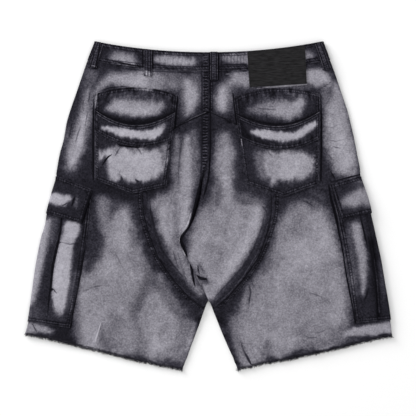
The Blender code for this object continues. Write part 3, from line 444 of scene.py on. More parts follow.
WASH_AND_SHADE["pocket_backing_right"] = [
    stroke(0.18, 7, 3, (74, 186, 4), (112, 194, 5), (150, 194, 5)),
    stroke(0.02, 7, 3, (50, 186, 7), (55, 168, 9), (76, 154, 6)),
    stroke(0.5, 6, 3, (72, 168, 4), (90, 170, 9), (108, 173, 12)),
    stroke(0.6, 6, 3, (110, 172, 10), (128, 175, 12)),
    stroke(0.74, 6, 3, (124, 166, 12), (138, 167, 16), (150, 170, 13), (160, 182, 9.5)),
    # painted shadow on the backing just above the pocket's mouth
    stroke(0.03, 4, 1.5, (48, 163, 4), (74, 150, 4), (104, 142, 5), (136, 140, 5), (166, 148, 5),
        (182, 158, 6), (194, 170, 5)),
]
WASH_AND_SHADE["pocket_band_left"] = [
    stroke(0.5, 3, 3, (-87, 136, 5), (-78, 142, 4)),
    stroke(0.88, 2.6, 3, (-184, 137.5, 2), (-170, 134, 5), (-150, 130, 8), (-130, 126.4, 7.6),
        (-112, 125, 7.4), (-96, 126.6, 8), (-87, 130, 7.5), (-81, 134.5, 4)),
]
WASH_AND_SHADE["pocket_band_right"] = [
    stroke(0, 6, 3, (56, 152, 3), (62, 126, 6), (80, 111, 6), (104, 108, 2)),
    stroke(0.86, 2.6, 3, (76, 130.5, 2.4), (85, 128.5, 5.5), (95, 127, 7.4), (107, 125.5, 8.6),
        (122, 122.5, 7.8), (140, 121.5, 7.6), (154, 124.5, 7), (166, 131.5, 6.4), (178, 139.5, 6),
        (185, 143, 5)),
]
WASH_AND_SHADE["pocket_front_left"] = [
    stroke(0.56, 6, 3, (-77, 104, 6), (-76, 80, 7), (-82, 60, 4)),
    stroke(0.66, 4, 3, (-162, 101, 5), (-152, 100, 4), (-146, 99, 3)),
    stroke(0.66, 4, 3, (-130, 99, 4), (-118, 100, 3)),
    stroke(0.82, 4, 4, (-172, 93, 9), (-167, 72, 11), (-164, 53, 9)),
    stroke(0.82, 4, 4, (-148, 83, 19), (-142, 62, 15), (-136, 49, 8)),
    stroke(0.83, 4, 4, (-117, 76, 23.5), (-114, 60, 17), (-112, 50, 8)),
    stroke(0.82, 5, 4, (-94, 87, 13), (-92, 70, 12), (-94, 56, 7)),
    stroke(0.84, 4, 4, (-186, 92, 5), (-190, 84, 3)),
    stroke(0.3, 4, 3, (-196, 96, 1), (-194, 72, 3)),
]
WASH_AND_SHADE["pocket_front_right"] = [
    stroke(0.44, 6, 4, (88, 90, 8), (92, 66, 8), (95, 54, 6)),
    stroke(0.74, 5, 4, (108, 84, 14), (115, 60, 15), (114, 45, 6)),
    stroke(0.75, 5, 4, (136, 79, 20), (138, 60, 16)),
    stroke(0.78, 5, 4, (160, 77, 19), (161, 62, 14)),
    stroke(0.76, 5, 4, (177, 79, 9), (175, 66, 9)),
    stroke(0.8, 9, 4, (124, 60, 8), (160, 62, 9)),
]
WASH_AND_SHADE["cargo_pocket_left"] = [
    stroke(0.8, 5, 3, (-280, -27, 6), (-283, -40, 8.5), (-290, -70, 8), (-296, -95, 7.5), (-301, -120, 7),
        (-306, -145, 6.5), (-310.5, -170, 5)),
    stroke(0.22, 8, 3, (-300, -176, 8), (-300, -200, 10)),
    stroke(0.34, 5, 3, (-313, -184, 4), (-318, -205, 4)),
    stroke(0.3, 6, 3, (-270, -22, 4), (-274, -60, 4)),
    stroke(0.8, 3, 3, (-246, -32, 5), (-231, -33, 6)),
    stroke(0.26, 6, 3, (-233, -118, 6), (-236, -150, 6), (-241, -184, 4)),
    stroke(0.86, 3, 3, (-239, -39, 13.5), (-243.5, -52, 12), (-248, -64, 12), (-251, -80, 13),
        (-255, -100, 14.5), (-257.5, -120, 15.5), (-259, -140, 15), (-260, -152, 14), (-260, -166, 11.5),
        (-261.5, -178, 9.5), (-262, -185, 8)),
    stroke(0.16, 8, 3, (-290, -185, 8), (-255, -196, 4)),
]
WASH_AND_SHADE["cargo_pocket_right"] = [
    # painted shadow under the inner end of the flap, beside the pocket's edge
    stroke(0, 4, 3, (232, -30, 4), (237, -56, 2)),
    stroke(0.28, 7, 3, (246, -34, 4), (248, -76, 6), (253, -115, 8)),
    stroke(0.36, 7, 3, (251, -118, 7), (254, -150, 6)),
    stroke(0.68, 4, 3, (259, -36, 8.5), (262, -54, 8.5), (265, -70, 8.5), (268.5, -90, 8), (270, -115, 7.5),
        (271, -135, 5), (271, -152, 3)),
    # painted shadow beside the pleat's fold
    stroke(0, 5, 3, (285, -60, 5), (290, -105, 6), (295, -150, 6), (298, -190, 5)),
    stroke(0.18, 6, 3, (304, -100, 3), (310, -150, 4)),
]
WASH_AND_SHADE["cargo_flap_left"] = [
    stroke(0.84, 3, 3, (-284, 16, 9), (-268, 14, 10.5), (-256, 11, 10), (-247, 14, 7)),
    stroke(0.34, 3, 2, (-230, 16, 2), (-232, 2, 3)),
    stroke(0.02, 5, 3, (-224, 34, 5), (-214, 28, 4)),
]
WASH_AND_SHADE["cargo_flap_right"] = [
    stroke(0.34, 5, 3, (260, 44, 4), (276, 40, 6)),
    stroke(0.7, 6, 3, (241, 8, 8), (252, 11, 13), (267, 18, 14), (290, 18, 18)),
    # painted shade along the flap's inner edge, where it stands off the pocket
    stroke(0, 3, 3, (216, 34, 3), (222, 8, 5), (229, -16, 4)),
]
WASH_AND_SHADE["belt_loop_back_left"] = [
    stroke(0.2, 2, 1, (-106, 270, 2), (-106, 245, 2)),
    stroke(0.8, 2, 1, (-109, 234, 4), (-105, 231, 5)),
]
WASH_AND_SHADE["belt_loop_centre"] = [stroke(0.2, 2, 1, (9, 264, 2), (9, 233, 2))]
WASH_AND_SHADE["belt_loop_side_left"] = [stroke(0.24, 2, 1, (-194, 280, 2), (-200, 254, 2))]
WASH_AND_SHADE["belt_loop_side_right"] = [stroke(0.22, 2, 1, (195, 278, 2), (203, 252, 2))]
WASH_AND_SHADE["front_leg_left"] = [
    stroke(0.74, 12, 5, (-120, 178, 18), (-138, 120, 42), (-140, 40, 58), (-150, -40, 66), (-160, -130, 80),
        (-168, -200, 62)),
    stroke(0.5, 9, 4, (-62, 150, 4), (-98, 132, 5), (-130, 128, 3)),
    stroke(0.46, 9, 4, (-58, 112, 4), (-92, 92, 5), (-128, 84, 3)),
    *front_edges(-1),
]
WASH_AND_SHADE["front_leg_right"] = [
    stroke(0.74, 12, 5, (122, 176, 18), (136, 120, 42), (142, 40, 58), (150, -40, 66), (162, -130, 80),
        (166, -200, 62)),
    stroke(0.48, 9, 4, (60, 146, 4), (94, 130, 5), (134, 122, 3)),
    stroke(0.44, 9, 4, (62, 106, 4), (96, 90, 5), (124, 86, 3)),
    *front_edges(1),
]

# Thin lines through dabs of their own half widths, each by its strength. The dark ones are painted shade,
# where cloth parts or folds; the pale ones lie where a fold or an edge is rubbed, partly wear and partly a
# painted highlight where light catches it.
Line = namedtuple("Line", "strength dabs")


def line(strength, *dabs):
    return Line(strength, dabs)


# Lines of painted shade that lie across two pieces.
POCKET_TOP_SHADE_LEFT = line(0.7, (-193, 201, 0.4), (-172, 208, 0.9), (-150, 210, 0.9), (-138, 208.5, 0.6),
    (-124, 204.4, 0.4), (-100, 202.4, 0.4), (-80, 201.4, 0.4), (-60, 197.4, 0.4))
FLAP_GAP_SHADE_LEFT = line(1, (-203.5, 29, 0.8), (-208, 15, 1.5), (-214, -5, 1.8), (-221, -28, 1.5),
    (-222, -31, 0.5))
CARGO_GAP_SHADE_LEFT = line(0.95, (-211, -5, 0.5), (-214, -40, 0.9), (-218, -80, 0.9), (-222, -110, 0.9),
    (-228, -140, 0.9), (-233, -165, 0.9), (-238, -190, 0.9), (-241, -211, 1.2))
CARGO_GAP_SHADE_RIGHT = line(1, (210, 38, 0.8), (214, 15, 1.8), (219.5, -5, 2.1), (225, -27, 1.9), (228, -45, 1.2),
    (231.5, -60, 1.1), (236, -85, 1), (239.5, -110, 1), (244, -135, 1.1), (249, -160, 1), (254, -185, 1),
    (257.5, -204, 1.2))
SEAT_GAP_SHADE = line(1, (-13, 54, 0.2), (-14.5, 40, 1.5), (-18.5, 20, 2.4), (-23, 0, 2.6), (-28, -20, 2.4),
    (-34, -35, 1.6), (-38, -40, 0.4))

# Painted shade: dark lines at seams and pocket edges, under flaps and folds, in pleats and in creases.
GAP_SHADE_LINES = {}
GAP_SHADE_LINES["back_leg_left"] = [
    POCKET_TOP_SHADE_LEFT, FLAP_GAP_SHADE_LEFT, CARGO_GAP_SHADE_LEFT,
    line(1, (-200.5, 196, 0.4), (-201.6, 165, 1.1), (-201.8, 107, 1.4), (-201.6, 60, 1.3), (-201.2, 46, 0.8)),
    line(1, (-54, 192, 0.9), (-56, 165, 1.1), (-60, 125, 1.2), (-63, 107, 1.2), (-66.4, 80, 1.3),
        (-68.8, 60, 1.2), (-72, 36, 1), (-76, 33.5, 0.8)),
    line(0.5, (-199, 43, 0.6), (-175, 35.5, 0.8), (-141, 20.5, 1), (-120, 23, 1), (-76, 33, 0.8)),
    line(0.9, *along_seam(-1, 0.7)),
    # beside the centre seam
    line(0.7, (-11.6, 238, 0.7), (-11.6, 165, 0.7)),
    # under the waistband
    line(0.55, (-160, 244, 0.3), (-140, 240.5, 0.8), (-116, 238, 0.9), (-60, 235, 0.9), (-14, 233, 0.6)),
    line(0.6, (-207, 254, 0.4), (-180, 250, 0.5), (-140, 244.6, 0.5), (-100, 240.5, 0.5), (-60, 237.4, 0.5),
        (-4, 236.4, 0.5)),
    line(0.6, (-114.8, 241, 0.4), (-114.6, 230, 0.4), (-112, 226.4, 0.3), (-101, 226.4, 0.3),
        (-97.8, 230, 0.3), (-97.4, 241, 0.5)),
    line(0.9, (-210, 244, 0.8), (-206, 241, 1.1), (-196, 241.5, 1), (-193, 246, 0.7)),
    # creases down the side
    line(0.6, (-207, 204, 0.2), (-208.5, 192, 0.9), (-211, 178, 0.2)),
    line(0.5, (-210, 168, 0.2), (-213, 158, 0.8), (-216, 140, 0.2)),
    line(0.5, (-224, 140, 0.2), (-229, 126, 0.8), (-233, 112, 0.2)),
    line(0.5, (-218, 190, 0.2), (-220, 178, 0.6), (-219, 166, 0.2)),
    line(0.6, (-238, 146, 0.2), (-242, 134, 0.8), (-244, 120, 0.2)),
    # creases of the leg
    line(0.34, (-206, -141.5, 0.2), (-195, -139.5, 1.2), (-182, -138, 0.2)),
    line(0.22, (-221, -149, 0.2), (-212, -146, 1), (-204, -142, 0.2)),
    line(0.16, (-163, -82, 0.2), (-157, -93, 1), (-152, -103, 0.2)),
    line(0.8, (-308, -206, 0.4), (-304, -214, 0.9), (-300, -220, 0.3)),
]
GAP_SHADE_LINES["back_leg_right"] = [
    CARGO_GAP_SHADE_RIGHT,
    line(1, (42.6, 198, 0.7), (44, 188, 1), (47.4, 160, 1.4), (50.2, 140, 1.3), (54.4, 108, 1.2),
        (57.6, 85, 1), (61, 60, 0.8), (63.6, 41, 0.7)),
    line(1, (196.6, 196, 0.3), (197.6, 165, 1.1), (197.6, 100, 1.5), (196.8, 45, 0.9)),
    line(0.5, (66, 36, 0.6), (85, 30, 0.8), (108, 20, 0.9), (130, 14.8, 1), (160, 25, 0.9), (192, 36.5, 0.6)),
    line(0.9, *along_seam(1, 0.7, (7, 0.5), (8, 0.05), (9, 0.05), (10, 0.3))),
    line(1, (3.1, 238, 1.2), (3.1, 165, 1.2)),
    line(0.7, (2, 236.4, 0.7), (60, 237.4, 0.7), (180, 250, 0.7), (207, 254, 0.6)),
    line(0.9, (17.6, 241, 0.9), (17.2, 223, 0.9), (14, 219.2, 0.9), (4, 219.2, 0.9)),
    line(0.5, (22.6, 241, 0.6), (22.4, 226, 0.8), (20, 216, 0.3)),
    line(0.4, (28, 233.5, 0.4), (46, 235, 0.8), (66, 237, 0.8)),
    line(0.9, (211, 41, 0.5), (225, 45, 1.1), (240, 49.5, 1.2), (256, 53.5, 1.3), (265, 55.5, 1.3)),
    line(0.9, (213, 62, 0.3), (217, 56, 1.2), (221, 49, 0.6)),
    line(0.8, (200, 240, 0.8), (206, 237.5, 1), (212, 238, 0.8)),
    line(0.6, (196, 206, 0.3), (204, 211, 0.9), (216, 219, 0.5), (222, 224, 0.3)),
    # creases of the side and the leg
    line(0.42, (218, 105, 0.2), (225, 103, 1), (232, 102, 0.2)),
    line(0.2, (204, 140, 0.2), (216, 138, 0.8), (234, 146, 0.2)),
    line(0.2, (206, 118, 0.2), (222, 114, 0.8), (242, 119, 0.2)),
    line(0.24, (208, 92, 0.2), (212, 88, 0.9), (216, 82, 0.2)),
    line(0.55, (166, 9, 0.2), (172, 7.4, 0.7), (178, 4, 0.7), (184, -1, 0.2)),
    line(0.2, (118, -88, 0.2), (128, -90, 0.8), (146, -88, 0.2)),
    line(0.36, (176, -151.5, 0.2), (186, -153.5, 0.8), (198, -158, 0.2)),
    line(0.2, (198, -158, 0.2), (208, -163, 0.7), (216, -172, 0.2)),
    line(0.55, (71, -136, 0.2), (74, -149, 1.3), (72.4, -160, 1.3), (70, -174, 0.3)),
    line(0.4, (75, -129, 0.3), (78.5, -137, 1), (78, -141, 0.2)),
    line(0.36, (56, -234, 0.2), (60, -248, 1), (63, -256, 1.2)),
    line(0.75, (62, -254, 0.8), (67, -262, 1.8), (71, -270, 1.9), (75, -277, 0.7)),
    line(0.36, (168, -226, 0.2), (176, -230, 0.9), (190, -229, 0.3)),
    line(0.3, (186, -222, 0.2), (196, -220, 0.8), (210, -214, 0.2)),
]
GAP_SHADE_LINES["back_inset_left"] = [
    SEAT_GAP_SHADE,
    line(0.9, *along_seam(-1, 0.7)),
    line(0.45, (-103, 12, 0.3), (-101, -8, 1.3), (-95, -35, 1.6), (-82, -75, 1.6), (-70, -92, 1.4),
        (-58, -107, 1.2), (-44, -124, 0.4)),
    line(0.3, (-44, 130, 0.2), (-48, 105, 1), (-51, 80, 1.2), (-52.4, 60, 1.2), (-53, 40, 0.3)),
    line(0.7, (-11.6, 165, 0.7), (-11.2, 110, 0.8), (-12.4, 76, 0.8), (-13.2, 54, 0.5)),
    line(1, (-31.5, -102, 1), (-29, -113, 2.1), (-26.4, -128, 1.6), (-23.4, -140, 0.4)),
    line(0.4, (-62, -76, 0.3), (-58, -92, 1.1), (-52, -108, 0.3)),
]
GAP_SHADE_LINES["back_inset_right"] = [
    line(0.9, (-19, -103, 0.5), (-18, -110, 1.2), (-16, -118, 0.5)),
    line(1, (3.2, 165, 1.2), (3.4, 108, 1.2), (2.4, 84, 1.2), (1.4, 62, 1.2), (-1, 44, 1.4), (-5, 28, 1.5),
        (-9, 14, 0.3)),
    line(1, (-9, 62, 0.2), (-11.4, 45, 1), (-15, 20, 1.6), (-20, 0, 1.6), (-26.5, -20, 1.6), (-34, -37, 1.2),
        (-42, -48, 1.2), (-49, -58, 2.2), (-45, -70, 3), (-40, -80, 2.2), (-37, -90, 0.4)),
    line(0.9, (109, 22, 0.6), (110.4, 8, 0.8), (110, -5, 0.8), (108.4, -20, 0.8), (104.6, -40, 0.8),
        (98, -60, 0.8), (92, -78, 0.8), (86, -92, 0.8), (60, -129, 0.8), (33, -160, 0.8), (16, -174, 0.8)),
    line(0.4, (98, -14, 0.3), (92, -40, 1.2), (78, -76, 1.5), (60, -106, 1.5), (40, -128, 1.5),
        (26, -143, 1.3), (12, -158, 0.4)),
    line(0.4, (92, 3, 0.2), (99, -5, 1.2), (104.5, -15, 0.3)),
    line(0.9, (-20, -121, 0.8), (-13, -126, 2.6), (-4, -127, 1.6)),
    line(0.5, (-34, -97, 0.3), (-30, -106, 1.2), (-25, -116, 0.3)),
]
GAP_SHADE_LINES["pocket_backing_left"] = [
    POCKET_TOP_SHADE_LEFT,
    line(0.9, (-198, 169, 0.8), (-180, 158.5, 1), (-160, 150, 1.2), (-140, 145.5, 1.3), (-120, 144.5, 1.3),
        (-100, 148, 1.2), (-80, 155, 1), (-59, 166, 0.8)),
]
GAP_SHADE_LINES["pocket_backing_right"] = [
    line(0.4, (46, 190.5, 0.5), (70, 200, 0.7), (100, 206, 0.8)),
    line(0.9, (47, 163, 0.8), (70, 153.5, 1), (90, 147.5, 1.2), (110, 144, 1.3), (130, 143.5, 1.3),
        (150, 147, 1.2), (175, 156.5, 1), (195, 167.5, 0.8)),
    line(0.42, (86, 172, 0.2), (94, 170.5, 0.9), (104, 170, 0.9), (120, 168.5, 0.2)),
    line(0.3, (100, 176, 0.2), (110, 175, 0.7), (122, 176, 0.2)),
    line(0.34, (114, 192, 0.2), (115, 185, 0.8), (113, 178, 0.2)),
]
GAP_SHADE_LINES["pocket_front_left"] = [
    line(1, (-160, 110, 0.2), (-155, 107, 1), (-140, 105, 1.3), (-125, 103.6, 1.3), (-113, 105.5, 1),
        (-96, 110, 0.2)),
    line(1, (-169, 91, 0.2), (-175, 87, 0.9), (-180, 81, 1.4), (-184.5, 73, 0.5)),
    line(0.5, (-156, 101, 0.3), (-159.5, 95, 1.3), (-164, 87, 0.2)),
    line(0.42, (-126, 103, 0.4), (-121, 98, 1.3), (-116, 90, 0.2)),
    line(0.55, (-152.5, 54, 0.2), (-152, 48, 2), (-155, 42, 0.4)),
    line(0.6, (-129, 49, 0.2), (-126, 45.5, 1.6), (-120, 43, 0.3)),
    line(0.5, (-64.5, 112, 0.4), (-69.5, 75, 0.8), (-74.5, 42, 0.4)),
]
GAP_SHADE_LINES["pocket_front_right"] = [
    line(0.9, (82, 108, 0.3), (100, 102.5, 1), (120, 100, 1.2), (138, 101.5, 1.1), (160, 107, 0.3)),
    line(0.3, (104, 96, 0.2), (108, 91, 0.9), (112, 86, 0.2)),
    line(0.45, (184, 88, 0.6), (186, 84, 1.4), (183, 80, 0.4)),
]
GAP_SHADE_LINES["waistband"] = [
    line(1, (-114.8, 273, 0.9), (-114.8, 238, 1)),
    line(1, (-98.2, 272, 1.1), (-97.6, 238, 1.1)),
    line(1, (2.2, 271, 1.1), (2.2, 237, 1.1)),
    line(0.9, (17.4, 271, 0.9), (17.4, 237, 0.9)),
    line(0.5, (23, 264, 0.3), (23, 250, 0.9), (22.6, 238, 0.6)),
    line(0.6, (-11.6, 270, 0.6), (-11.6, 238, 0.6)),
    line(0.9, (-181, 257, 0.3), (-160, 253, 1), (-140, 248.5, 1.1), (-118, 244.5, 0.5)),
    line(0.35, (-96, 248, 0.8), (-80, 246, 1), (-50, 243, 1), (-30, 242.5, 0.8), (-18, 243, 0.3)),
    line(0.7, (24, 248, 0.3), (40, 248, 1), (66, 249, 1)),
    # small pleats
    *(line(0.34, (x, 268, 0.2), (x - 1.6, 259, 0.7), (x - 1.2, 251, 0.2))
      for x in (29, 34, 41, 46, 52, 58, 63)),
    *(line(0.2, (x, 265, 0.2), (x - 2.4, 257, 0.7), (x - 2, 250, 0.2))
      for x in (-83, -74, -69, -60, -51, -44, -34)),
    line(0.6, (172, 257.5, 0.8), (184, 258.5, 0.8), (192, 260, 0.4)),
    line(0.8, (186.6, 286, 0.8), (200, 242, 0.8)),
    line(0.8, (-186, 284, 0.4), (-196, 243, 0.4)),
]
GAP_SHADE_LINES["belt_loop_side_left"] = [line(1, (-189.5, 285, 0.9), (-195.8, 247, 1.2), (-198, 243, 0.6))]
GAP_SHADE_LINES["cargo_pocket_left"] = [
    CARGO_GAP_SHADE_LEFT, FLAP_GAP_SHADE_LEFT,
    line(1, (-256.6, -20, 1.4), (-258.5, -40, 1.6), (-262, -60, 1.9), (-267, -80, 2.2), (-271.4, -100, 2.2),
        (-274, -120, 2), (-276, -143, 1.7), (-279, -165, 1.1), (-282, -190, 0.8), (-283.4, -206, 0.6)),
    line(0.42, (-260, -61.5, 0.3), (-250, -64.5, 1), (-240, -66, 1.2), (-229, -62.5, 0.3)),
    line(0.8, (-277, -141, 0.8), (-271, -145.5, 1.2), (-264, -153, 0.3)),
    line(0.4, (-277, -153, 0.4), (-273.6, -165, 1.2), (-269, -178, 0.3)),
    line(0.7, (-242, -205, 0.6), (-280, -200, 0.6), (-314, -196, 0.5)),
    line(0.6, (-218, -40, 0.4), (-223, -80, 0.6), (-229, -120, 0.6), (-239, -180, 0.6), (-246, -204, 0.3)),
]
GAP_SHADE_LINES["cargo_pocket_right"] = [
    CARGO_GAP_SHADE_RIGHT,
    line(1, (265, -12, 1), (269.4, -33, 1.5), (274.6, -56, 1.3), (281, -80, 0.4)),
    line(0.9, (280, -54, 0.4), (284, -76, 1), (287.4, -100, 1.4), (291, -130, 1.2), (294, -158, 1.1),
        (295.4, -196, 0.8)),
    line(0.7, (280, -143, 0.4), (277, -154, 1.5), (272.4, -167, 0.3)),
    line(0.7, (262, -197.5, 0.6), (290, -194.5, 0.6), (318, -191, 0.5)),
]
GAP_SHADE_LINES["cargo_flap_left"] = [
    FLAP_GAP_SHADE_LEFT,
    line(0.9, (-233, 20, 0.3), (-235.6, 10, 1.7), (-239, 1, 0.8)),
    line(0.7, (-256, 1, 0.3), (-251, 3.4, 1), (-247, 7, 0.3)),
    line(0.6, (-208, 26, 0.4), (-219, -8, 0.6), (-226, -25, 0.4)),
]
GAP_SHADE_LINES["cargo_flap_right"] = [
    line(1, (211, 37, 0.6), (216, 20, 2.2), (221, 4, 2.6), (226, -12, 2.2), (231, -24, 1)),
    line(0.8, (234, -20.5, 0.6), (250, -18, 0.9), (266, -15, 0.9), (286, -11, 0.7)),
    line(0.5, (219, 36, 0.4), (230, 5, 0.7), (237, -18, 0.4)),
]

# Pale lines: wear on rubbed edges, and painted highlight where light catches a fold's edge.
RUB_AND_HIGHLIGHT_LINES = {}
RUB_AND_HIGHLIGHT_LINES["back_leg_left"] = [
    line(0.5, (-197.6, 201, 0.3), (-198.4, 196, 0.4)),
    line(1, (-188.5, -202, 0.5), (-192, -214, 1.1), (-196, -228, 1.3), (-200.5, -246, 0.6)),
    line(0.2, *along_seam(-1, -1, (8, 0.6), (9, 0.6), (10, 0.6), (11, 0.6), (12, 0.6), (13, 0.6))),
    line(0.3, (-42, 146, 0.3), (-28, 155.4, 0.7), (-5, 164.4, 0.6)),
]
RUB_AND_HIGHLIGHT_LINES["back_leg_right"] = [
    line(0.74, (84, 206.4, 0.1), (98, 208.2, 0.9), (120, 210, 1.4), (145, 211.8, 1.6), (172, 214, 1.3)),
    line(0.5, (30, 231.4, 0.3), (44, 232.6, 0.9), (66, 234.6, 0.9)),
    line(0.34, (160, 14, 0.4), (171, 12.4, 1.2), (184, 5, 0.4)),
    line(0.3, (10, 160.6, 0.3), (25, 152.6, 0.7), (42, 143.6, 0.5)),
]
RUB_AND_HIGHLIGHT_LINES["back_inset_left"] = [
    line(0.9, (-31, -12, 0.5), (-36, -30, 1.3), (-44, -44, 1.5), (-51, -57, 1.6), (-46, -72, 1.2),
        (-41, -86, 0.5)),
    line(0.62, (-59, -72, 0.3), (-54, -88, 1), (-47, -112, 0.3)),
    line(0.55, (-4.5, 60, 0.4), (-6, 45, 0.9), (-10, 28, 0.3)),
    line(0.7, (-21.6, -121, 0.3), (-17.6, -129, 0.8), (-14, -137, 0.3)),
]
RUB_AND_HIGHLIGHT_LINES["back_inset_right"] = [
    line(0.22, (104, 0, 0.3), (105, -20, 0.6), (101, -40, 0.7), (94.5, -60, 0.7), (84, -84, 0.7),
        (60, -123, 0.7), (36, -152, 0.7), (20, -166, 0.4)),
    line(0.72, (-6, -148, 0.4), (-1, -158, 1.2), (0, -163, 0.4)),
]
RUB_AND_HIGHLIGHT_LINES["pocket_backing_left"] = [line(0.7, (-195.6, 198, 0.9), (-196.8, 187, 1.1), (-198.2, 172, 0.4))]
RUB_AND_HIGHLIGHT_LINES["pocket_front_left"] = [line(0.34, (-198, 168, 0.6), (-198.2, 100, 0.6), (-198.4, 50, 0.6))]
RUB_AND_HIGHLIGHT_LINES["pocket_front_right"] = [
    line(0.62, (51.2, 162, 0.7), (53.2, 148, 0.9), (56, 128, 0.8), (58.6, 106, 0.6)),
    line(0.24, (58.6, 106, 0.5), (63, 70, 0.5), (66.6, 40, 0.5)),
    line(0.22, (193, 160, 0.4), (192.6, 100, 0.4), (192.4, 45, 0.4)),
]
RUB_AND_HIGHLIGHT_LINES["pocket_backing_right"] = [line(0.36, (195, 196, 0.4), (194.8, 172, 0.5))]
RUB_AND_HIGHLIGHT_LINES["cargo_flap_left"] = [
    line(0.3, (-229.6, 16, 0.4), (-230.4, 4, 1.2), (-231.4, -6, 0.4)),
]
RUB_AND_HIGHLIGHT_LINES["cargo_flap_right"] = [line(0.24, (216.6, 38, 0.4), (225.4, 8, 0.6), (233.6, -20, 0.5))]
RUB_AND_HIGHLIGHT_LINES["cargo_pocket_right"] = [line(0.15, (290, -92, 0.4), (295, -132, 0.9), (299, -186, 0.7))]
RUB_AND_HIGHLIGHT_LINES["belt_loop_side_left"] = [line(0.55, (-204, 246.4, 0.8), (-198.6, 245.4, 0.8))]

# The ladder of puckers across the centre seam.
LADDER = {}
LADDER["waistband"] = [line(0.8, (-5, 268, 3), (-5, 240, 3))]
LADDER["back_leg_left"] = [line(1, (-5, 237, 3.2), (-5, 165, 3.2))]
LADDER["back_inset_left"] = [line(1, (-5, 165, 3.2), (-6, 110, 3.2), (-7, 60, 2.6), (-9, 40, 1.4))]

# Pieces whose wash is drawn out into ribs by the puckers along their top and foot.
RIBBED = ("waistband", "pocket_backing_left", "pocket_backing_right", "pocket_band_left", "pocket_band_right",
          "pocket_front_left", "pocket_front_right", "cargo_flap_left", "cargo_flap_right")

# Wear where no stroke goes.
UNWORN = 0.09

# ---------------- creases

# A crease runs through dabs of its own half widths and moves the cloth by `rise`.
Crease = namedtuple("Crease", "rise dabs")


def crease(rise, *dabs):
    return Crease(rise, dabs)


BACK_CREASES = (
    # left leg
    crease(-1.9, (-94, -104, 5), (-104, -132, 11), (-120, -166, 12), (-136, -200, 5)),
    crease(0.9, (-84, -122, 4), (-100, -158, 9), (-114, -188, 4)),
    crease(0.8, (-190, -203, 1.6), (-196, -224, 2.6), (-202, -246, 1.6)),
    crease(-0.8, (-221, -150, 1.4), (-204, -142, 2.6), (-186, -138, 1.4)),
    crease(-0.6, (-162, -82, 1.4), (-157, -93, 2.4), (-153, -102, 1.4)),
    crease(-1.2, (-176, -214, 3), (-171, -232, 8), (-166, -250, 3)),
    crease(-1, (-150, -190, 3), (-146, -220, 8), (-150, -248, 3)),
    crease(0.7, (-235, -160, 4), (-228, -196, 9), (-224, -232, 4)),
    crease(-0.7, (-70, -196, 3), (-80, -226, 7), (-82, -258, 3)),
    # right leg
    crease(-1.3, (74, -134, 1.5), (71, -158, 3.4), (70, -180, 1.5)),
    crease(-1.5, (56, -234, 1.8), (63, -254, 3.6), (73, -275, 2.2)),
    crease(-0.5, (168, -152, 1.3), (192, -156, 2.2), (213, -171, 1.3)),
    crease(-0.8, (163, 12, 1.6), (176, 8, 2.8), (186, 0, 1.6)),
    crease(-0.6, (106, -88, 1.6), (124, -91, 2.8), (150, -90, 1.6)),
    crease(-0.7, (182, -198, 3), (160, -214, 7), (140, -236, 3)),
    crease(0.7, (118, -120, 4), (132, -160, 10), (128, -205, 4)),
    crease(-0.8, (196, 100, 1.4), (212, 99, 2.4), (226, 92, 1.4)),
    # yoke and sides
    crease(-0.5, (-222, 150, 2), (-228, 120, 4), (-238, 86, 2)),
    crease(0.4, (222, 188, 3), (230, 150, 6), (236, 110, 3)),
    # seat
    crease(-1.2, (-18, -96, 1.6), (-13, -106, 4), (-8, -116, 1.6)),
    crease(-1.2, (-10, -124, 1.6), (-2, -130, 4.5), (8, -133, 1.6)),
    crease(0.8, (20, -2, 4), (4, -34, 9), (-8, -66, 4)),
    crease(-0.8, (44, 8, 4), (30, -40, 9), (22, -86, 4)),
    crease(-0.9, (-58, 22, 3), (-72, -20, 8), (-66, -66, 3)),
    crease(-0.7, (70, -10, 3), (58, -50, 7), (38, -92, 3)),
)

POCKET_CREASES = {
    "pocket_front_left": (
        crease(-0.9, (-176, 90, 0.9), (-181, 82, 1.9), (-184, 73, 0.9)),
        crease(-0.8, (-158, 103, 0.9), (-161, 96, 1.9), (-166, 88, 0.9)),
        crease(-0.6, (-124, 102, 0.8), (-121, 98, 1.8), (-118, 95, 0.8)),
        crease(0.5, (-150, 92, 2), (-120, 84, 5), (-96, 92, 2)),
    ),
    "pocket_front_right": (
        crease(-0.5, (84, 92, 1.2), (96, 84, 2.4), (104, 72, 1.2)),
        crease(0.5, (112, 94, 2), (140, 86, 5), (166, 92, 2)),
    ),
    "cargo_pocket_left": (
        crease(-0.7, (-259, -59, 0.9), (-246, -63, 1.9), (-234, -64, 0.9)),
        crease(-0.9, (-275, -140, 1.1), (-270, -146, 2.4), (-264, -154, 1.1)),
    ),
    "cargo_pocket_right": (
        crease(-0.8, (278, -143, 1.1), (276, -153, 2.2), (273, -164, 1.1)),
        crease(0.6, (300, -60, 2), (303, -120, 4), (306, -180, 2)),
    ),
}

FRONT_CREASES = (
    crease(1.1, (-30, 60, 3), (-70, 78, 7), (-120, 96, 3)),
    crease(1, (-34, 30, 3), (-80, 40, 7), (-128, 60, 3)),
    crease(1.1, (28, 62, 3), (66, 82, 7), (124, 92, 3)),
    crease(0.9, (32, 28, 3), (84, 44, 7), (126, 56, 3)),
    crease(1, (-112, -90, 3), (-118, -140, 8), (-108, -190, 3)),
    crease(1, (116, -96, 3), (108, -150, 8), (118, -196, 3)),
)

# ---------------- curves and heights


def ease(t):
    """0 to 1 with soft ends."""
    t = np.clip(t, 0.0, 1.0)
    return t * t * (3.0 - 2.0 * t)


def arch(t):
    """0 at both ends of 0..1 and 1 in the middle."""
    return 1.0 - (2.0 * t - 1.0) ** 2


def mix(first, last, t):
    return first + (last - first) * t


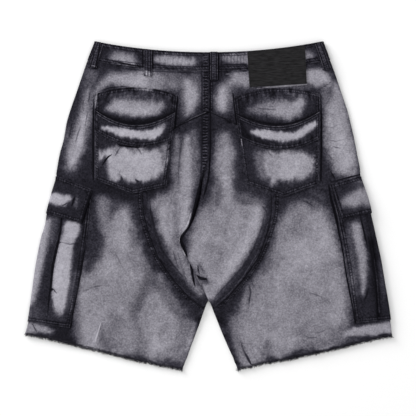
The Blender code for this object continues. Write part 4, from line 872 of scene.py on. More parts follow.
def curve(knots, values, at):
    """Smooth curve through the values, which never swings past them."""
    knots = np.asarray(knots, dtype=float)
    values = np.asarray(values, dtype=float)
    if knots[0] > knots[-1]:
        knots = knots[::-1]
        values = values[::-1]
    at = np.clip(np.asarray(at, dtype=float), knots[0], knots[-1])
    steps = np.diff(knots)
    rises = np.diff(values) / steps
    product = rises[:-1] * rises[1:]
    total = np.where(product > 0.0, rises[:-1] + rises[1:], 1.0)
    inner = np.where(product > 0.0, 2.0 * product / total, 0.0)
    slopes = np.concatenate([rises[:1], inner, rises[-1:]])
    span = np.clip(np.searchsorted(knots, at, side="right") - 1, 0, len(steps) - 1)
    t = (at - knots[span]) / steps[span]
    pull = slopes[span] * steps[span]
    push = slopes[span + 1] * steps[span]
    rise = values[span + 1] - values[span]
    bend = (3 * rise - 2 * pull - push) * t**2
    return values[span] + pull * t + bend + (pull + push - 2 * rise) * t**3


def column(rows, name, at, key="y"):
    """A column of a table that is kept by y, or by another column."""
    return curve([getattr(row, key) for row in rows], [getattr(row, name) for row in rows], at)


def side_x(y):
    """X of the middle of the body's wall on the side fold."""
    return column(SIDE, "x", y)


def inseam_x(y):
    """X of the inseam below the crotch, and of the centre seam above it."""
    return np.maximum(0.0, INSEAM_SLOPE * (CROTCH_Y - y))


def front_z(x, y):
    """Height of the front's wall: on the floor, but lifted at the waist, sides and fly."""
    seam_y = mix(FRONT_SEAM, SIDE_SEAM, (x / BAND_SEAM_HALF) ** 2)
    waist = 1.0 - ease((seam_y - y) / WAIST_RUN)
    side = column(SIDE, "lift", y) * (1.0 - ease((side_x(y) - np.abs(x) - SHELF) / SHELF_RUN))
    beside_fly = np.abs(x + FLY_WIDTH / 2) - FLY_WIDTH / 2 - FLY_MARGIN
    below_fly = FLY_FOOT_Y - FLY_MARGIN - y
    fly = (1.0 - ease(beside_fly / FLY_RUN)) * (1.0 - ease(below_fly / FLY_RUN))
    return REST + FRONT_LIFT * (1.0 - (1.0 - waist) * (1.0 - side) * (1.0 - 0.5 * fly))


def fold_radius(y):
    """Radius of the side fold."""
    return mix(SIDE_FOLD, WAIST_FOLD, ease((y - WAIST_FOLD_FROM_Y) / (SIDE_SEAM - WAIST_FOLD_FROM_Y)))


def flat_end_x(y):
    """X where the side fold begins."""
    return side_x(y) - fold_radius(y)


def inner_fold_radius(y):
    """Radius of the fold along the inseam."""
    return (column(BACK_HEIGHTS, "inner", y) - REST) / 2


def back_z(x, y):
    """Height of the back's wall: low at the side folds and inseams, high between them."""
    side = front_z(side_x(y), y) + 2.0 * fold_radius(y)
    crown = column(BACK_HEIGHTS, "crown", y)
    inner = column(BACK_HEIGHTS, "inner", y)
    over_leg = mix(side, crown, ease((side_x(y) - np.abs(x)) / SIDE_RUN))
    return over_leg + (inner - crown) * (1.0 - ease((np.abs(x) - inseam_x(y)) / INNER_RUN))


def unevenness(x, y, size, seed):
    """Smooth swells about `size` wide, from -1 to 1."""
    x, y = np.broadcast_arrays(x / size, y / size)
    swells = [noise.noise((a, b, seed)) for a, b in zip(x.ravel(), y.ravel())]
    return np.array(swells).reshape(x.shape)


def swells(x, y, *each):
    """Swells on top of one another, each with its height, size and seed."""
    return sum(height * unevenness(x, y, size, seed) for height, size, seed in each)


def distance_to(dabs, x, y):
    """Distance to the line through some dabs, and their half width where it is nearest."""
    nearest = np.full(x.shape, np.inf)
    half = np.zeros(x.shape)
    for (ax, ay, a_half), (bx, by, b_half) in zip(dabs, dabs[1:]):
        run_x = bx - ax
        run_y = by - ay
        t = np.clip(((x - ax) * run_x + (y - ay) * run_y) / (run_x**2 + run_y**2), 0.0, 1.0)
        away = np.hypot(x - ax - run_x * t, y - ay - run_y * t)
        here = mix(a_half, b_half, t)
        closer = away - here < nearest - half
        nearest = np.where(closer, away, nearest)
        half = np.where(closer, here, half)
    return nearest, half


def creased(creases, x, y):
    """How far some creases move the cloth."""
    moved = np.zeros(x.shape)
    for each in creases:
        widest = max(dab[2] for dab in each.dabs)
        away, half = distance_to(each.dabs, x, y)
        moved += each.rise * (half / widest) * np.exp(-((away / half) ** 2))
    return moved


def back_relief(x, y):
    """How far the back rises and sinks from its even form, with all that is sewn on it."""
    swell = swells(x, y, (1.3, 80, 1.7), (1.2, 36, 5.2), (0.6, 14, 9.4), (0.2, 6, 2.2))
    swell += creased(BACK_CREASES, x, y)
    from_side = side_x(y) - np.abs(x)
    # above the crotch there is no inner edge to keep away from
    from_inner = np.abs(x) - inseam_x(y) + 60.0 * ease((y + 175.0) / 25.0)
    swell *= ease((from_side - CALM_EDGE) / 18.0) * ease((from_inner - CALM_EDGE) / 14.0)
    # less towards the waist and the hems
    swell *= mix(1.0, 0.4, ease((y - 160.0) / 50.0)) * mix(0.5, 1.0, ease((y + 275.0) / 40.0))
    return np.maximum(swell, -np.maximum(back_z(x, y) - LOWEST_BACK, 0.0))


def front_relief(x, y):
    """Swells of the front; it only rises, because it lies on the floor."""
    swell = 0.5 + 0.5 * unevenness(x, y, 60.0, 4.4)
    swell = 0.7 * swell**2 + creased(FRONT_CREASES, x, y)
    from_side = side_x(y) - np.abs(x)
    from_inner = np.abs(x) - inseam_x(y)
    fade = ease((from_side - SHELF) / 25.0) * ease((y + 270.0) / 60.0) * ease((120.0 - y) / 30.0)
    return swell * fade * ease(from_inner / 14.0)


# ---------------- the forms


def spread(first, last, count):
    """Values from first to last as a row, one column for each."""
    return np.linspace(first, last, count)[None, :]


def down(first, last, count):
    """Values from first to last as a column, one row for each."""
    return np.linspace(first, last, count)[:, None]


def stack(*blocks):
    """Points from blocks of columns, each given as x, y and z."""
    return np.concatenate([np.stack(np.broadcast_arrays(*block), axis=-1) for block in blocks], axis=1)


def side_turn(side, y, out, angle):
    """Points round the side fold, `out` from the body's wall; a right angle is up."""
    radius = fold_radius(y)
    x = side_x(y) - radius + (radius + out) * np.cos(angle)
    z = front_z(side_x(y), y) + radius + (radius + out) * np.sin(angle)
    return side * x, y, z


def back_row(name, t):
    """A column of BACK_ROWS at row number t; the seam has corners at the inset's two ends."""
    result = np.zeros(np.shape(t))
    for first, last in ((0, INSET_TOP), (INSET_TOP, INSET_FOOT), (INSET_FOOT, HEM_ROW)):
        rows = list(range(first, last + 1))
        here = (t >= first) & (t <= last)
        result = np.where(here, curve(rows, [getattr(BACK_ROWS[row], name) for row in rows], t), result)
    return result


def seam_point(t, shift):
    """A point of the inset's seam at row t, moved towards the side by `shift`."""
    before = np.maximum(t - SEAM_STEP, np.where(t >= INSET_TOP, INSET_TOP, 0))
    after = np.minimum(t + SEAM_STEP, np.where(t <= INSET_FOOT, INSET_FOOT, HEM_ROW))
    run_x = back_row("seam_x", after) - back_row("seam_x", before)
    run_y = back_row("seam_y", after) - back_row("seam_y", before)
    length = np.hypot(run_x, run_y)
    return back_row("seam_x", t) - shift * run_y / length, back_row("seam_y", t) + shift * run_x / length


def rows_by(t, counts):
    """Row numbers as a column: `counts` steps in each part between the numbers of t."""
    parts = [np.linspace(a, b, n, endpoint=False) for a, b, n in zip(t, t[1:], counts)]
    return np.concatenate(parts + [[t[-1]]])[:, None]


def inseam_curl(t):
    """0 where the panels' inner edges lie flat, 1 where they turn to meet along the inseam."""
    first = INSET_FOOT + INSET_TIP
    return ease((t - first) / (14.5 - first))


def hem_cut(x, t):
    """How much the raw hem is cut back above its even line, unevenly."""
    ragged = 1.8 + 1.0 * unevenness(x, 0.0 * x, 11.0, 2.6) + 1.4 * unevenness(x, 0.0 * x, 3.2, 8.1)
    return (ragged + curve(*zip(*HEM_RISE), x)) * ease(t - 15.0)


def leg(side, on_back):
    """A leg's back or front panel, turned down at its inner edge and round the side fold."""
    if on_back:
        t = rows_by((0, INSET_TOP, 6, INSET_FOOT, HEM_ROW), (36, 64, 124, 58))
        inner_x, inner_y = seam_point(t, SEAM)
        seam_y, height, up, columns = BACK_SEAM, back_z, 1, 136
    else:
        t = rows_by((0, INSET_TOP, INSET_FOOT, HEM_ROW), (22, 84, 28))
        inner_y = column(FRONT_ROWS, "inner_y", t, "number")
        inner_x = inseam_x(inner_y) + SEAM
        seam_y, height, up, columns = FRONT_SEAM, front_z, -1, 72
    side_y = back_row("side_y", t)
    bow = (SIDE_SEAM - seam_y) / 4 * (1.0 - ease(t / WAIST_BOW_ROWS))
    reach = inner_fold_radius(inner_y)
    turn = spread(TURN_END, 0.0, 5)[:, :-1] * pi / 2
    turn_x = side * (inner_x + reach * (1.0 - np.sin(turn)))
    turn_z = height(turn_x, inner_y) - up * inseam_curl(t) * reach * (1.0 - np.cos(turn))
    across = spread(0.0, 1.0, columns)
    x = side * mix(inner_x + reach, flat_end_x(side_y), across)
    y = mix(inner_y, side_y, across) - bow * arch(across)
    points = stack((turn_x, inner_y, turn_z), (x, y, height(x, y)),
                   side_turn(side, side_y, 0.0, up * pi / 2 * (1.0 - spread(0.0, TURN_END, 6)[:, 1:])))
    points[:, :, 1] += hem_cut(points[:, :, 0], t)
    return points


def within(stretch, y):
    """0 outside a stretch of the seat, 1 in its full part."""
    begun = ease((y - stretch.starts) / (stretch.full - stretch.starts))
    left = ease((y - stretch.gone) / (stretch.fades - stretch.gone))
    return begun * left


def back_inset(side):
    """An inset of the seat: the left one's centre edge is folded over the right one's."""
    t = rows_by((INSET_TOP + INSET_TIP, 6, INSET_FOOT - INSET_TIP), (60, 150))
    centre_y = back_row("centre_y", t)
    under = OVERLAP * within(SEAT_OVERLAP, centre_y) if side > 0 else 0.0
    fold_x = np.where(centre_y > SEAT_FOLD[0].y, 0.0, column(SEAT_FOLD, "x", centre_y))
    folded_x = fold_x - under + side * SEAM
    centre_x = np.where(centre_y < CROTCH_Y, side * (inseam_x(centre_y) + SEAM), folded_x)
    seam_x, seam_y = seam_point(t, -SEAM)
    width = np.abs(side * seam_x - centre_x)
    margin = np.minimum(INSET_MARGIN, 0.4 * width)
    distance = np.concatenate([margin * spread(0.0, 1.0, 14)[:, :-1] ** 1.3,
                               mix(margin, width, spread(0.0, 1.0, 66))], axis=1)
    x = centre_x + side * distance
    y = mix(centre_y, seam_y, distance / width)
    apart = within(SEAT_APART, y)
    if side < 0:
        shift = EDGE_LIFT * apart * (1.0 - ease(distance / EDGE_LIFT_RUN))
        shift -= apart * EDGE_ROLL * (1.0 - ease((distance + 0.4) / 2.6)) ** 2
    else:
        dip = EDGE_DROP * apart + VALLEY * within(SEAT_VALLEY, y)
        shift = -dip * (1.0 - ease((distance - VALLEY_FLOOR) / VALLEY_BANK))
    return stack((x, y, back_z(x, y) + shift * ease((width - distance) / SEAM_RUN)))


def panel_top_y(x, on_back):
    """Y of the top edge of the back or front panels at x."""
    side_y = BACK_ROWS[0].side_y
    inner_y = np.where(on_back, BACK_ROWS[0].seam_y, FRONT_ROWS[0].inner_y)
    bow = (SIDE_SEAM - np.where(on_back, BACK_SEAM, FRONT_SEAM)) / 4
    first = SEAM + inner_fold_radius(inner_y)
    across = np.clip((np.abs(x) - first) / (flat_end_x(side_y) - first), 0.0, 1.0)
    return mix(inner_y, side_y, across) - bow * arch(across)


def band_path(half):
    """The waistband's middle line seen from above its edge: x, z and whether it is on the back."""
    flat = half - WAIST_FOLD
    centre_z = (BAND_FRONT_Z + BAND_BACK_Z) / 2
    ramp_end = LAP_RAMP_START + LAP_RAMP
    turn = np.linspace(-pi / 2, pi / 2, 9)[1:-1]
    part = np.linspace(0.0, 1.0, 20)[1:]
    stretches = (
        (np.linspace(-LAP, LAP_RAMP_START, 20), BAND_UNDERLAP_Z),
        (mix(LAP_RAMP_START, ramp_end, part), mix(BAND_UNDERLAP_Z, BAND_FRONT_Z, ease(part))),
        (np.linspace(ramp_end, flat, 50)[1:], BAND_FRONT_Z),
        (flat + WAIST_FOLD * np.cos(turn), centre_z + WAIST_FOLD * np.sin(turn)),
        (np.linspace(flat, -flat, 280), BAND_BACK_Z),
        (-flat - WAIST_FOLD * np.cos(turn), centre_z - WAIST_FOLD * np.sin(turn)),
        (np.linspace(-flat, LAP, 96), BAND_FRONT_Z))
    x, z = np.concatenate([np.broadcast_arrays(*stretch) for stretch in stretches], axis=1)
    return x[None, :], z[None, :], z[None, :] > centre_z


def waistband():
    fall = down(0.0, 1.0, 24)
    seam_x, seam_z, on_back = band_path(BAND_SEAM_HALF)
    top_x, top_z, on_back = band_path(BAND_TOP_HALF)
    away = np.minimum(np.abs(top_x) / (BAND_TOP_HALF - WAIST_FOLD), 1.0) ** 2
    top_y = mix(np.where(on_back, BACK_TOP, FRONT_TOP), SIDE_TOP, away)
    seam_y = panel_top_y(seam_x, on_back) + 2 * SEAM
    return stack((mix(top_x, seam_x, fall), mix(top_y, seam_y, fall), mix(top_z, seam_z, fall)))


def pocket_edge(pocket, name, u):
    """Y of an edge of a back pocket at u, from its inner to its outer side."""
    if name == "top":
        return mix(pocket.inner_top_y, pocket.outer_top_y, u) + pocket.top_arch * arch(u)
    if name == "mouth":
        return mix(pocket.mouth_inner_y, pocket.mouth_outer_y, u) - pocket.mouth_sag * arch(u)
    if name == "band":
        return mix(pocket.band_inner_y, pocket.band_outer_y, u) - pocket.band_sag * arch(u)
    return np.where(u < pocket.tip, mix(pocket.inner_foot_y, pocket.tip_y, u / pocket.tip),
                    mix(pocket.tip_y, pocket.outer_foot_y, (u - pocket.tip) / (1.0 - pocket.tip)))


def pocket_point(pocket, u, y, out):
    """A point on a back pocket: u runs from its inner to its outer edge."""
    fall = (pocket.inner_top_y - y) / (pocket.inner_top_y - pocket.inner_foot_y)
    inner_x = mix(pocket.inner_top_x, pocket.inner_foot_x, fall)
    outer_x = mix(pocket.outer_top_x, pocket.outer_foot_x, fall)
    x = pocket.side * mix(inner_x, outer_x, u)
    return x, y, back_z(x, y) + out


def pocket_part(pocket, part):
    """A back pocket's backing, its front from the mouth down, or the band along its mouth."""
    u = np.concatenate([np.linspace(0.0, pocket.tip, 48), np.linspace(pocket.tip, 1.0, 48)[1:]])[None, :]
    mouth = pocket_edge(pocket, "mouth", u)
    if part == "backing":
        y = mix(pocket_edge(pocket, "top", u), mouth - BACKING_HIDDEN, down(0.0, 1.0, 42))
        return stack(pocket_point(pocket, u, y, PLY))
    foot = pocket_edge(pocket, "foot" if part == "front" else "band", u)
    y = mix(mouth, foot, down(0.0, 1.0, 88 if part == "front" else 34))
    # over its backing at the mouth, then lower
    out = mix(2 * PLY, PLY, ease((mouth - y - MOUTH_LIP) / MOUTH_RAMP))
    return stack(pocket_point(pocket, u, y, out + (0.0 if part == "front" else PLY)))


def across_side(side, inner_x, inner_y, side_y):
    """A function for points in rows from a piece's inner edge to the side fold, and on beneath it."""
    flat_end = flat_end_x(side_y)

    def place(x, height, out):
        y = mix(inner_y, side_y, (x - inner_x) / (flat_end - inner_x))
        return side * x, y, height(side * x, y) + out

    return place


def cargo_pocket(pocket, edges):
    """A cargo pocket, pleated along the back and wrapped round the side fold."""
    fold = FOLD_PLY / 2
    fall = down(0.0, 1.0, 100)
    inner_y = mix(pocket.top_inner_y, pocket.foot_inner_y, fall)
    side_y = mix(pocket.top_side_y, pocket.foot_side_y, fall)
    inner_x = column(edges, "inner_x", inner_y)
    pleat_x = column(edges, "pleat_x", inner_y)
    root_x = pleat_x - PLEAT_DEPTH
    flat_end = flat_end_x(side_y)
    place = across_side(pocket.side, inner_x, inner_y, side_y)
    part = spread(0.0, 1.0, 18)
    half_turn = spread(pi / 2, -pi / 2, 8)
    lower_x = mix(root_x, flat_end, spread(0.0, 1.0, 14)[:, 1:-1])
    under_x = mix(flat_end, side_x(side_y) - FRONT_HALF, spread(0.0, 1.0, 24)[:, 1:])
    return stack(
        place(mix(inner_x, root_x - PLEAT_CLEAR, part), back_z, PLY + 2 * FOLD_PLY * ease(part)),
        place(mix(root_x, pleat_x, spread(0.0, 1.0, 4)[:, :-1]), back_z, PLY + 2 * FOLD_PLY),
        place(pleat_x + fold * np.cos(half_turn), back_z, PLY + fold * (3.0 + np.sin(half_turn))),
        place(root_x - fold * np.cos(half_turn), back_z, PLY + fold * (1.0 + np.sin(half_turn))),
        place(lower_x, back_z, PLY),
        side_turn(pocket.side, side_y, PLY, spread(pi / 2, -pi / 2, 10)),
        place(under_x, front_z, -PLY))


def cargo_flap(flap, edges):
    """A cargo pocket's flap, over the pleat and round the side fold."""
    fall = down(0.0, 1.0, 36)
    inner_x = mix(flap.top_inner_x, flap.foot_inner_x, fall)
    inner_y = mix(flap.top_inner_y, flap.foot_inner_y, fall)
    side_y = mix(flap.top_side_y, flap.foot_side_y, fall)
    pleat_x = column(edges, "pleat_x", inner_y) + FLAP_BEYOND_PLEAT
    flat_end = flat_end_x(side_y)
    rise = np.sin(np.minimum(1.0, (flap.top_side_y - side_y) / FLAP_RISE) * pi / 2)
    proud = mix(PLY, FLAP_PROUD, rise)
    close = mix(PLY, FLAP_SIDE, rise)
    quarter = fold_radius(side_y) * pi / 2 + close
    run = flat_end - pleat_x + quarter
    place = across_side(flap.side, inner_x, inner_y, side_y)
    x = mix(inner_x, flat_end, spread(0.0, 1.0, 34)[:, :-1])
    angle = spread(pi / 2, -pi / 2, 12)
    turned = mix(proud, close, ease((flat_end - pleat_x + quarter * (1.0 - angle / (pi / 2))) / run))
    under_x = mix(flat_end, side_x(side_y) - FRONT_HALF, spread(0.0, 1.0, 26)[:, 1:])
    return stack(place(x, back_z, mix(proud, close, ease((x - pleat_x) / run))),
                 side_turn(flap.side, side_y, turned, angle), place(under_x, front_z, -close))


def belt_loop(loop):
    fall = down(0.0, 1.0, 26)
    run_x = loop.foot_x - loop.top_x
    run_y = loop.foot_y - loop.top_y
    length = np.hypot(run_x, run_y)
    out = spread(-0.5, 0.5, 9) * loop.width
    x = mix(loop.top_x, loop.foot_x, fall) - out * run_y / length
    y = mix(loop.top_y, loop.foot_y, fall) + out * run_x / length
    return stack((x, y, loop.z + loop.bulge * arch(fall)))


def patch():
    top_left, top_right, foot_left, foot_right = PATCH_CORNERS
    fall = down(0.0, 1.0, 34)
    across = spread(0.0, 1.0, 52)
    x = mix(mix(top_left.x, foot_left.x, fall), mix(top_right.x, foot_right.x, fall), across)
    y = mix(mix(top_left.y, foot_left.y, fall), mix(top_right.y, foot_right.y, fall), across)
    return stack((x, y, PATCH_Z))


def fly_flap():
    """The fly's flap, whose inner edge laps the middle of the fronts."""
    y = np.concatenate([down(FLY_TOP_Y, FLY_CURVE_Y, 40), down(FLY_CURVE_Y, FLY_FOOT_Y + 0.4, 18)[1:]])
    drop = np.maximum(0.0, (FLY_CURVE_Y - y) / (FLY_CURVE_Y - FLY_FOOT_Y))
    x = FLY_LAP - (FLY_LAP + SEAM + FLY_WIDTH) * np.sqrt(1.0 - drop**2) * spread(0.0, 1.0, 16)
    return stack((x, y, front_z(x, y) - PLY))


# ---------------- cloth

# What a piece's edge does: seams pucker within `reach` of it, and its rim is rubbed to `rim`.
Edge = namedtuple("Edge", "where reach height pitch rim sewn", defaults=(True,))

# The finished surfaces, which rows of stitches and frays follow.
Cloth = namedtuple("Cloth", "points normals wall")
made = {}

# What each point of the cloth carries for its finish: its wear, with some painted shade, how far it is
# from a seam and how far along it, how the edge is rubbed, the thin lines of painted shade and of pale
# rubbed and highlit edges near it, and the centre seam's ladder.
MEASURES = ("worn", "seam", "along", "rim", "gap", "gap_strength", "ridge", "ridge_strength", "ladder")

# Distances away from any seam and from any thin line, and the least gap over the floor.
FAR = 60.0
FAR_LINE = 6.0
CLEAR = 0.03


def shifted(points):
    """The cloth as it was laid down: the legs' edges are a little off their even line."""
    x, y, z = points[:, :, 0], points[:, :, 1], points[:, :, 2]
    at_side = ease((np.abs(x) - side_x(y) + SHIFT_REACH) / SHIFT_RUN)
    at_inseam = ease((inseam_x(y) + SHIFT_REACH - np.abs(x)) / SHIFT_RUN)
    at_inseam *= ease((CROTCH_Y + 6.0 - y) / 12.0)
    moved = np.zeros(x.shape)
    for name, here in (("left", x < 0), ("right", x > 0)):
        outwards = curve(*zip(*SIDE_SHIFT[name]), y)
        inwards = curve(*zip(*INSEAM_SHIFT[name]), y)
        moved += here * (outwards * at_side + inwards * at_inseam)
    return np.stack([x + moved, y, z], axis=-1)


def edge_distances(points):
    """Distances along the grid from each of its edges."""
    across = np.linalg.norm(np.diff(points, axis=1), axis=2)
    along = np.linalg.norm(np.diff(points, axis=0), axis=2)
    inner = np.concatenate([np.zeros((len(points), 1)), np.cumsum(across, axis=1)], axis=1)
    top = np.concatenate([np.zeros((1, points.shape[1])), np.cumsum(along, axis=0)], axis=0)
    return {"inner": inner, "outer": inner[:, -1:] - inner, "top": top, "foot": top[-1:] - top}


def grid_normals(points, up):
    """Unit normals of a grid; `up` is 1 if they should point up in its first columns, -1 if down."""
    normals = np.cross(np.gradient(points, axis=1), np.gradient(points, axis=0))
    normals /= np.maximum(np.linalg.norm(normals, axis=2, keepdims=True), 1e-9)
    middle = normals[len(points) // 2, 3]
    return normals if middle[2] * up > 0 else -normals


def wear_and_shade(name, x, y):
    """The wash at points of a piece, with a few strokes of painted shadow: strokes over one another, each
    with a soft and uneven rim.
    """
    warp_x = swells(x, y, (0.7, 15, 11.3), (0.5, 5.5, 17.9))
    warp_y = swells(x, y, (0.7, 15, 23.1), (0.5, 5.5, 31.7))
    if name in RIBBED:
        warp_y = warp_y + 0.7 * unevenness(x, 0.2 * y, 4.6, 13.9)
    tone = np.full(x.shape, UNWORN)
    for each in WASH_AND_SHADE.get(name, ()):
        away, half = distance_to(each.dabs, x + each.ragged * warp_x, y + each.ragged * warp_y)
        cover = 1.0 / (1.0 + np.exp(np.clip(2.4 * (away - half) / each.soft, -30.0, 30.0)))
        tone = mix(tone, each.tone, cover)
    return tone


def thin_lines(lines, x, y):
    """Distance past the nearest of some thin lines, and the strength of that line."""
    x = x + 0.30 * unevenness(x, y, 4.2, 61.7)
    y = y + 0.30 * unevenness(x, y, 4.2, 73.1)
    beyond = np.full(x.shape, FAR_LINE)
    strength = np.zeros(x.shape)
    for each in lines:
        away, half = distance_to(each.dabs, x, y)
        past = away - half
        strength = np.where(past < beyond, each.strength, strength)
        beyond = np.minimum(beyond, past)
    return beyond, strength * (1.0 + 0.25 * unevenness(x, y, 7.0, 83.9))


def cloth(solid, name, points, wall, up, relief, edges):
    """A piece of cloth with its relief, puckers and wash, and its thin lines of painted shade and highlight;
    returns the finished object.
    """
    points = shifted(points)
    normals = grid_normals(points, up)
    x = points[:, :, 0]
    y = points[:, :, 1]
    reach = edge_distances(points)
    tone = wear_and_shade(solid, x, y)
    tone += swells(x, y, (0.05, 22, 41.3), (0.05, 8, 7.7)) * ease(tone / 0.3)
    seam = np.full(x.shape, FAR)
    beside = np.zeros(x.shape)
    rim = np.zeros(x.shape)
    if relief is not None:
        points = points + relief(x, y)[:, :, None] * np.array([0.0, 0.0, 1.0])
    folds = creased(POCKET_CREASES.get(solid, ()), x, y)
    moved = folds.copy()
    for number, edge in enumerate(edges):
        from_edge = reach[edge.where]
        along = reach["inner" if edge.where in ("top", "foot") else "top"]
        wave = unevenness(along, from_edge * 0.35, edge.pitch, 3.3 + 7.1 * number + len(solid))
        near = np.exp(-((from_edge / edge.reach) ** 2))
        moved += edge.height * wave * near
        if edge.sewn:
            beside = np.where(from_edge < seam, along, beside)
            rim = np.where(from_edge < seam, edge.rim * (1.0 + 0.9 * wave), rim)
            seam = np.minimum(seam, from_edge)
        tone += (0.55 * wave * edge.height / 0.3) * near * (0.30 + tone)
    if solid.startswith("back_leg"):
        # the legs' inner edges are closed without rows of stitches
        seam = np.maximum(seam, FAR * ease((CROTCH_Y - 14.0 - y) / 4.0))
    points = points + moved[:, :, None] * normals
    points[:, :, 2] = np.maximum(points[:, :, 2], 0.5 * wall + CLEAR)
    made[solid] = Cloth(points, grid_normals(points, up), wall)
    # the creases are darker in their troughs and lighter on their crowns: partly wear, partly painted shade
    # and highlight
    tone += 0.10 * np.clip(folds, -2.0, 1.0)
    if relief is back_relief:
        tone += 0.08 * np.clip(creased(BACK_CREASES, x, y), -2.0, 1.0)
    gap, gap_strength = thin_lines(GAP_SHADE_LINES.get(solid, ()), x, y)
    ridge, ridge_strength = thin_lines(RUB_AND_HIGHLIGHT_LINES.get(solid, ()), x, y)
    ladder, ladder_strength = thin_lines(LADDER.get(solid, ()), x, y)
    values = (np.clip(tone, 0.0, 1.0), seam * MM, beside * MM, rim, gap * MM, gap_strength, ridge * MM,
              ridge_strength, ladder_strength * (1.0 - ease(ladder / 1.6)))
    return sheet_object(name, points, dict(zip(MEASURES, values)), reach, wall)


def in_scene(name, data):
    piece = bpy.data.objects.new(name, data)
    bpy.context.scene.collection.objects.link(piece)
    return piece


def grid_mesh(name, columns, rows, size):
    grid = bmesh.new()
    bmesh.ops.create_grid(grid, x_segments=columns - 1, y_segments=rows - 1, size=size)
    mesh = bpy.data.meshes.new(name)
    grid.to_mesh(mesh)
    grid.free()
    return mesh


def sheet_object(name, points, values, reach, wall):
    """A wall along a grid of points, with its measures and its flat pattern as a UV map."""
    rows, columns = points.shape[:2]
    mesh = grid_mesh(name, columns, rows, 0.5)
    place = np.empty(len(mesh.vertices) * 3, dtype=np.float32)
    mesh.vertices.foreach_get("co", place)
    place = place.reshape(-1, 3)
    across = np.rint((place[:, 0] + 0.5) * (columns - 1)).astype(int)
    along = np.rint((place[:, 1] + 0.5) * (rows - 1)).astype(int)
    mesh.vertices.foreach_set("co", (points[along, across] * MM).astype(np.float32).ravel())
    for label, value in values.items():
        attribute = mesh.attributes.new(label, "FLOAT", "POINT")
        attribute.data.foreach_set("value", value[along, across].astype(np.float32))
    corners = np.empty(len(mesh.loops), dtype=np.int32)
    mesh.loops.foreach_get("vertex_index", corners)
    flat = np.stack([reach["inner"][along, across], reach["top"][along, across]], axis=1) * MM
    mesh.uv_layers.new(name="cloth").uv.foreach_set("vector", flat[corners].astype(np.float32).ravel())
    piece = in_scene(name, mesh)
    solidify = piece.modifiers.new("wall", "SOLIDIFY")
    solidify.thickness = wall * MM
    solidify.offset = 0.0
    return finished(piece)


def finished(piece):
    """The piece with its modifiers applied, shaded smooth but for its cut edges."""
    graph = bpy.context.evaluated_depsgraph_get()
    mesh = bpy.data.meshes.new_from_object(piece.evaluated_get(graph))
    piece.modifiers.clear()
    piece.data = mesh
    mesh.shade_smooth()
    mesh.set_sharp_from_angle(angle=radians(55))
    return piece


# ---------------- finishes


class Value:
    """An output in a node tree; what is done to it is done by math nodes."""

    def __init__(self, tree, socket):
        self.tree = tree
        self.socket = socket

    def by(self, operation, *others):
        return worked(self.tree, operation, self, *others)

    def __add__(self, other):
        return self.by("ADD", other)

    def __sub__(self, other):
        return self.by("SUBTRACT", other)

    def __rsub__(self, other):
        return worked(self.tree, "SUBTRACT", other, self)

    def __mul__(self, other):
        return self.by("MULTIPLY", other)

    def __truediv__(self, other):
        return self.by("DIVIDE", other)


def worked(tree, operation, *values):
    """What a math node makes of some values."""
    placed = node(tree, "ShaderNodeMath", dict(enumerate(values)), operation=operation)
    return Value(tree, placed.outputs[0])


def clamped(value):
    """The value held between 0 and 1."""
    value.socket.node.use_clamp = True
    return value


def plug(tree, placed, inputs):
    """Gives a node's inputs their plain values or the outputs that feed them."""
    for name, value in inputs.items():
        if isinstance(value, Value):
            value = value.socket
        if isinstance(value, bpy.types.NodeSocket):
            tree.links.new(value, placed.inputs[name])
        else:
            placed.inputs[name].default_value = value
    return placed


def node(tree, kind, inputs=None, **settings):
    """A node of a tree with its settings and its inputs."""
    placed = tree.nodes.new(kind)
    for name, value in settings.items():
        setattr(placed, name, value)
    return plug(tree, placed, inputs or {})


def sockets(tree, way, kind, *names):
    for name in names:
        tree.interface.new_socket(name=name, in_out=way, socket_type="NodeSocket" + kind)


def ends(tree):
    """What goes into a group or tree, by name, and the node that it ends in."""
    return node(tree, "NodeGroupInput").outputs, node(tree, "NodeGroupOutput")


def cloud(tree, vector, scale, detail, roughness=0.5, distortion=0.0):
    """Cloudy noise from 0 to 1."""
    made_noise = node(tree, "ShaderNodeTexNoise", {
        "Vector": vector, "Scale": scale, "Detail": detail, "Roughness": roughness, "Distortion": distortion})
    return Value(tree, made_noise.outputs["Fac"])


def stretched(tree, vector, across, along):
    """Places scaled to draw a pattern out."""
    return node(tree, "ShaderNodeMapping", {"Vector": vector, "Scale": (across, along, 1.0)}).outputs[0]


def axis_of(tree, vector, axis):
    return Value(tree, node(tree, "ShaderNodeSeparateXYZ", {0: vector}).outputs[axis])


def ramp(tree, value, *stops):
    """A ramp through stops, each a place and a colour."""
    placed = node(tree, "ShaderNodeValToRGB", {"Fac": value})
    elements = placed.color_ramp.elements
    elements[0].position = stops[0][0]
    elements[1].position = stops[-1][0]
    for position, _ in stops[1:-1]:
        elements.new(position)
    for element, (_, colour) in zip(elements, stops):
        element.color = (*colour, 1.0)
    return placed.outputs["Color"]


def bump(tree, height, distance, strength):
    relief = node(tree, "ShaderNodeBump", {"Distance": distance, "Strength": strength, "Height": height})
    return relief.outputs["Normal"]


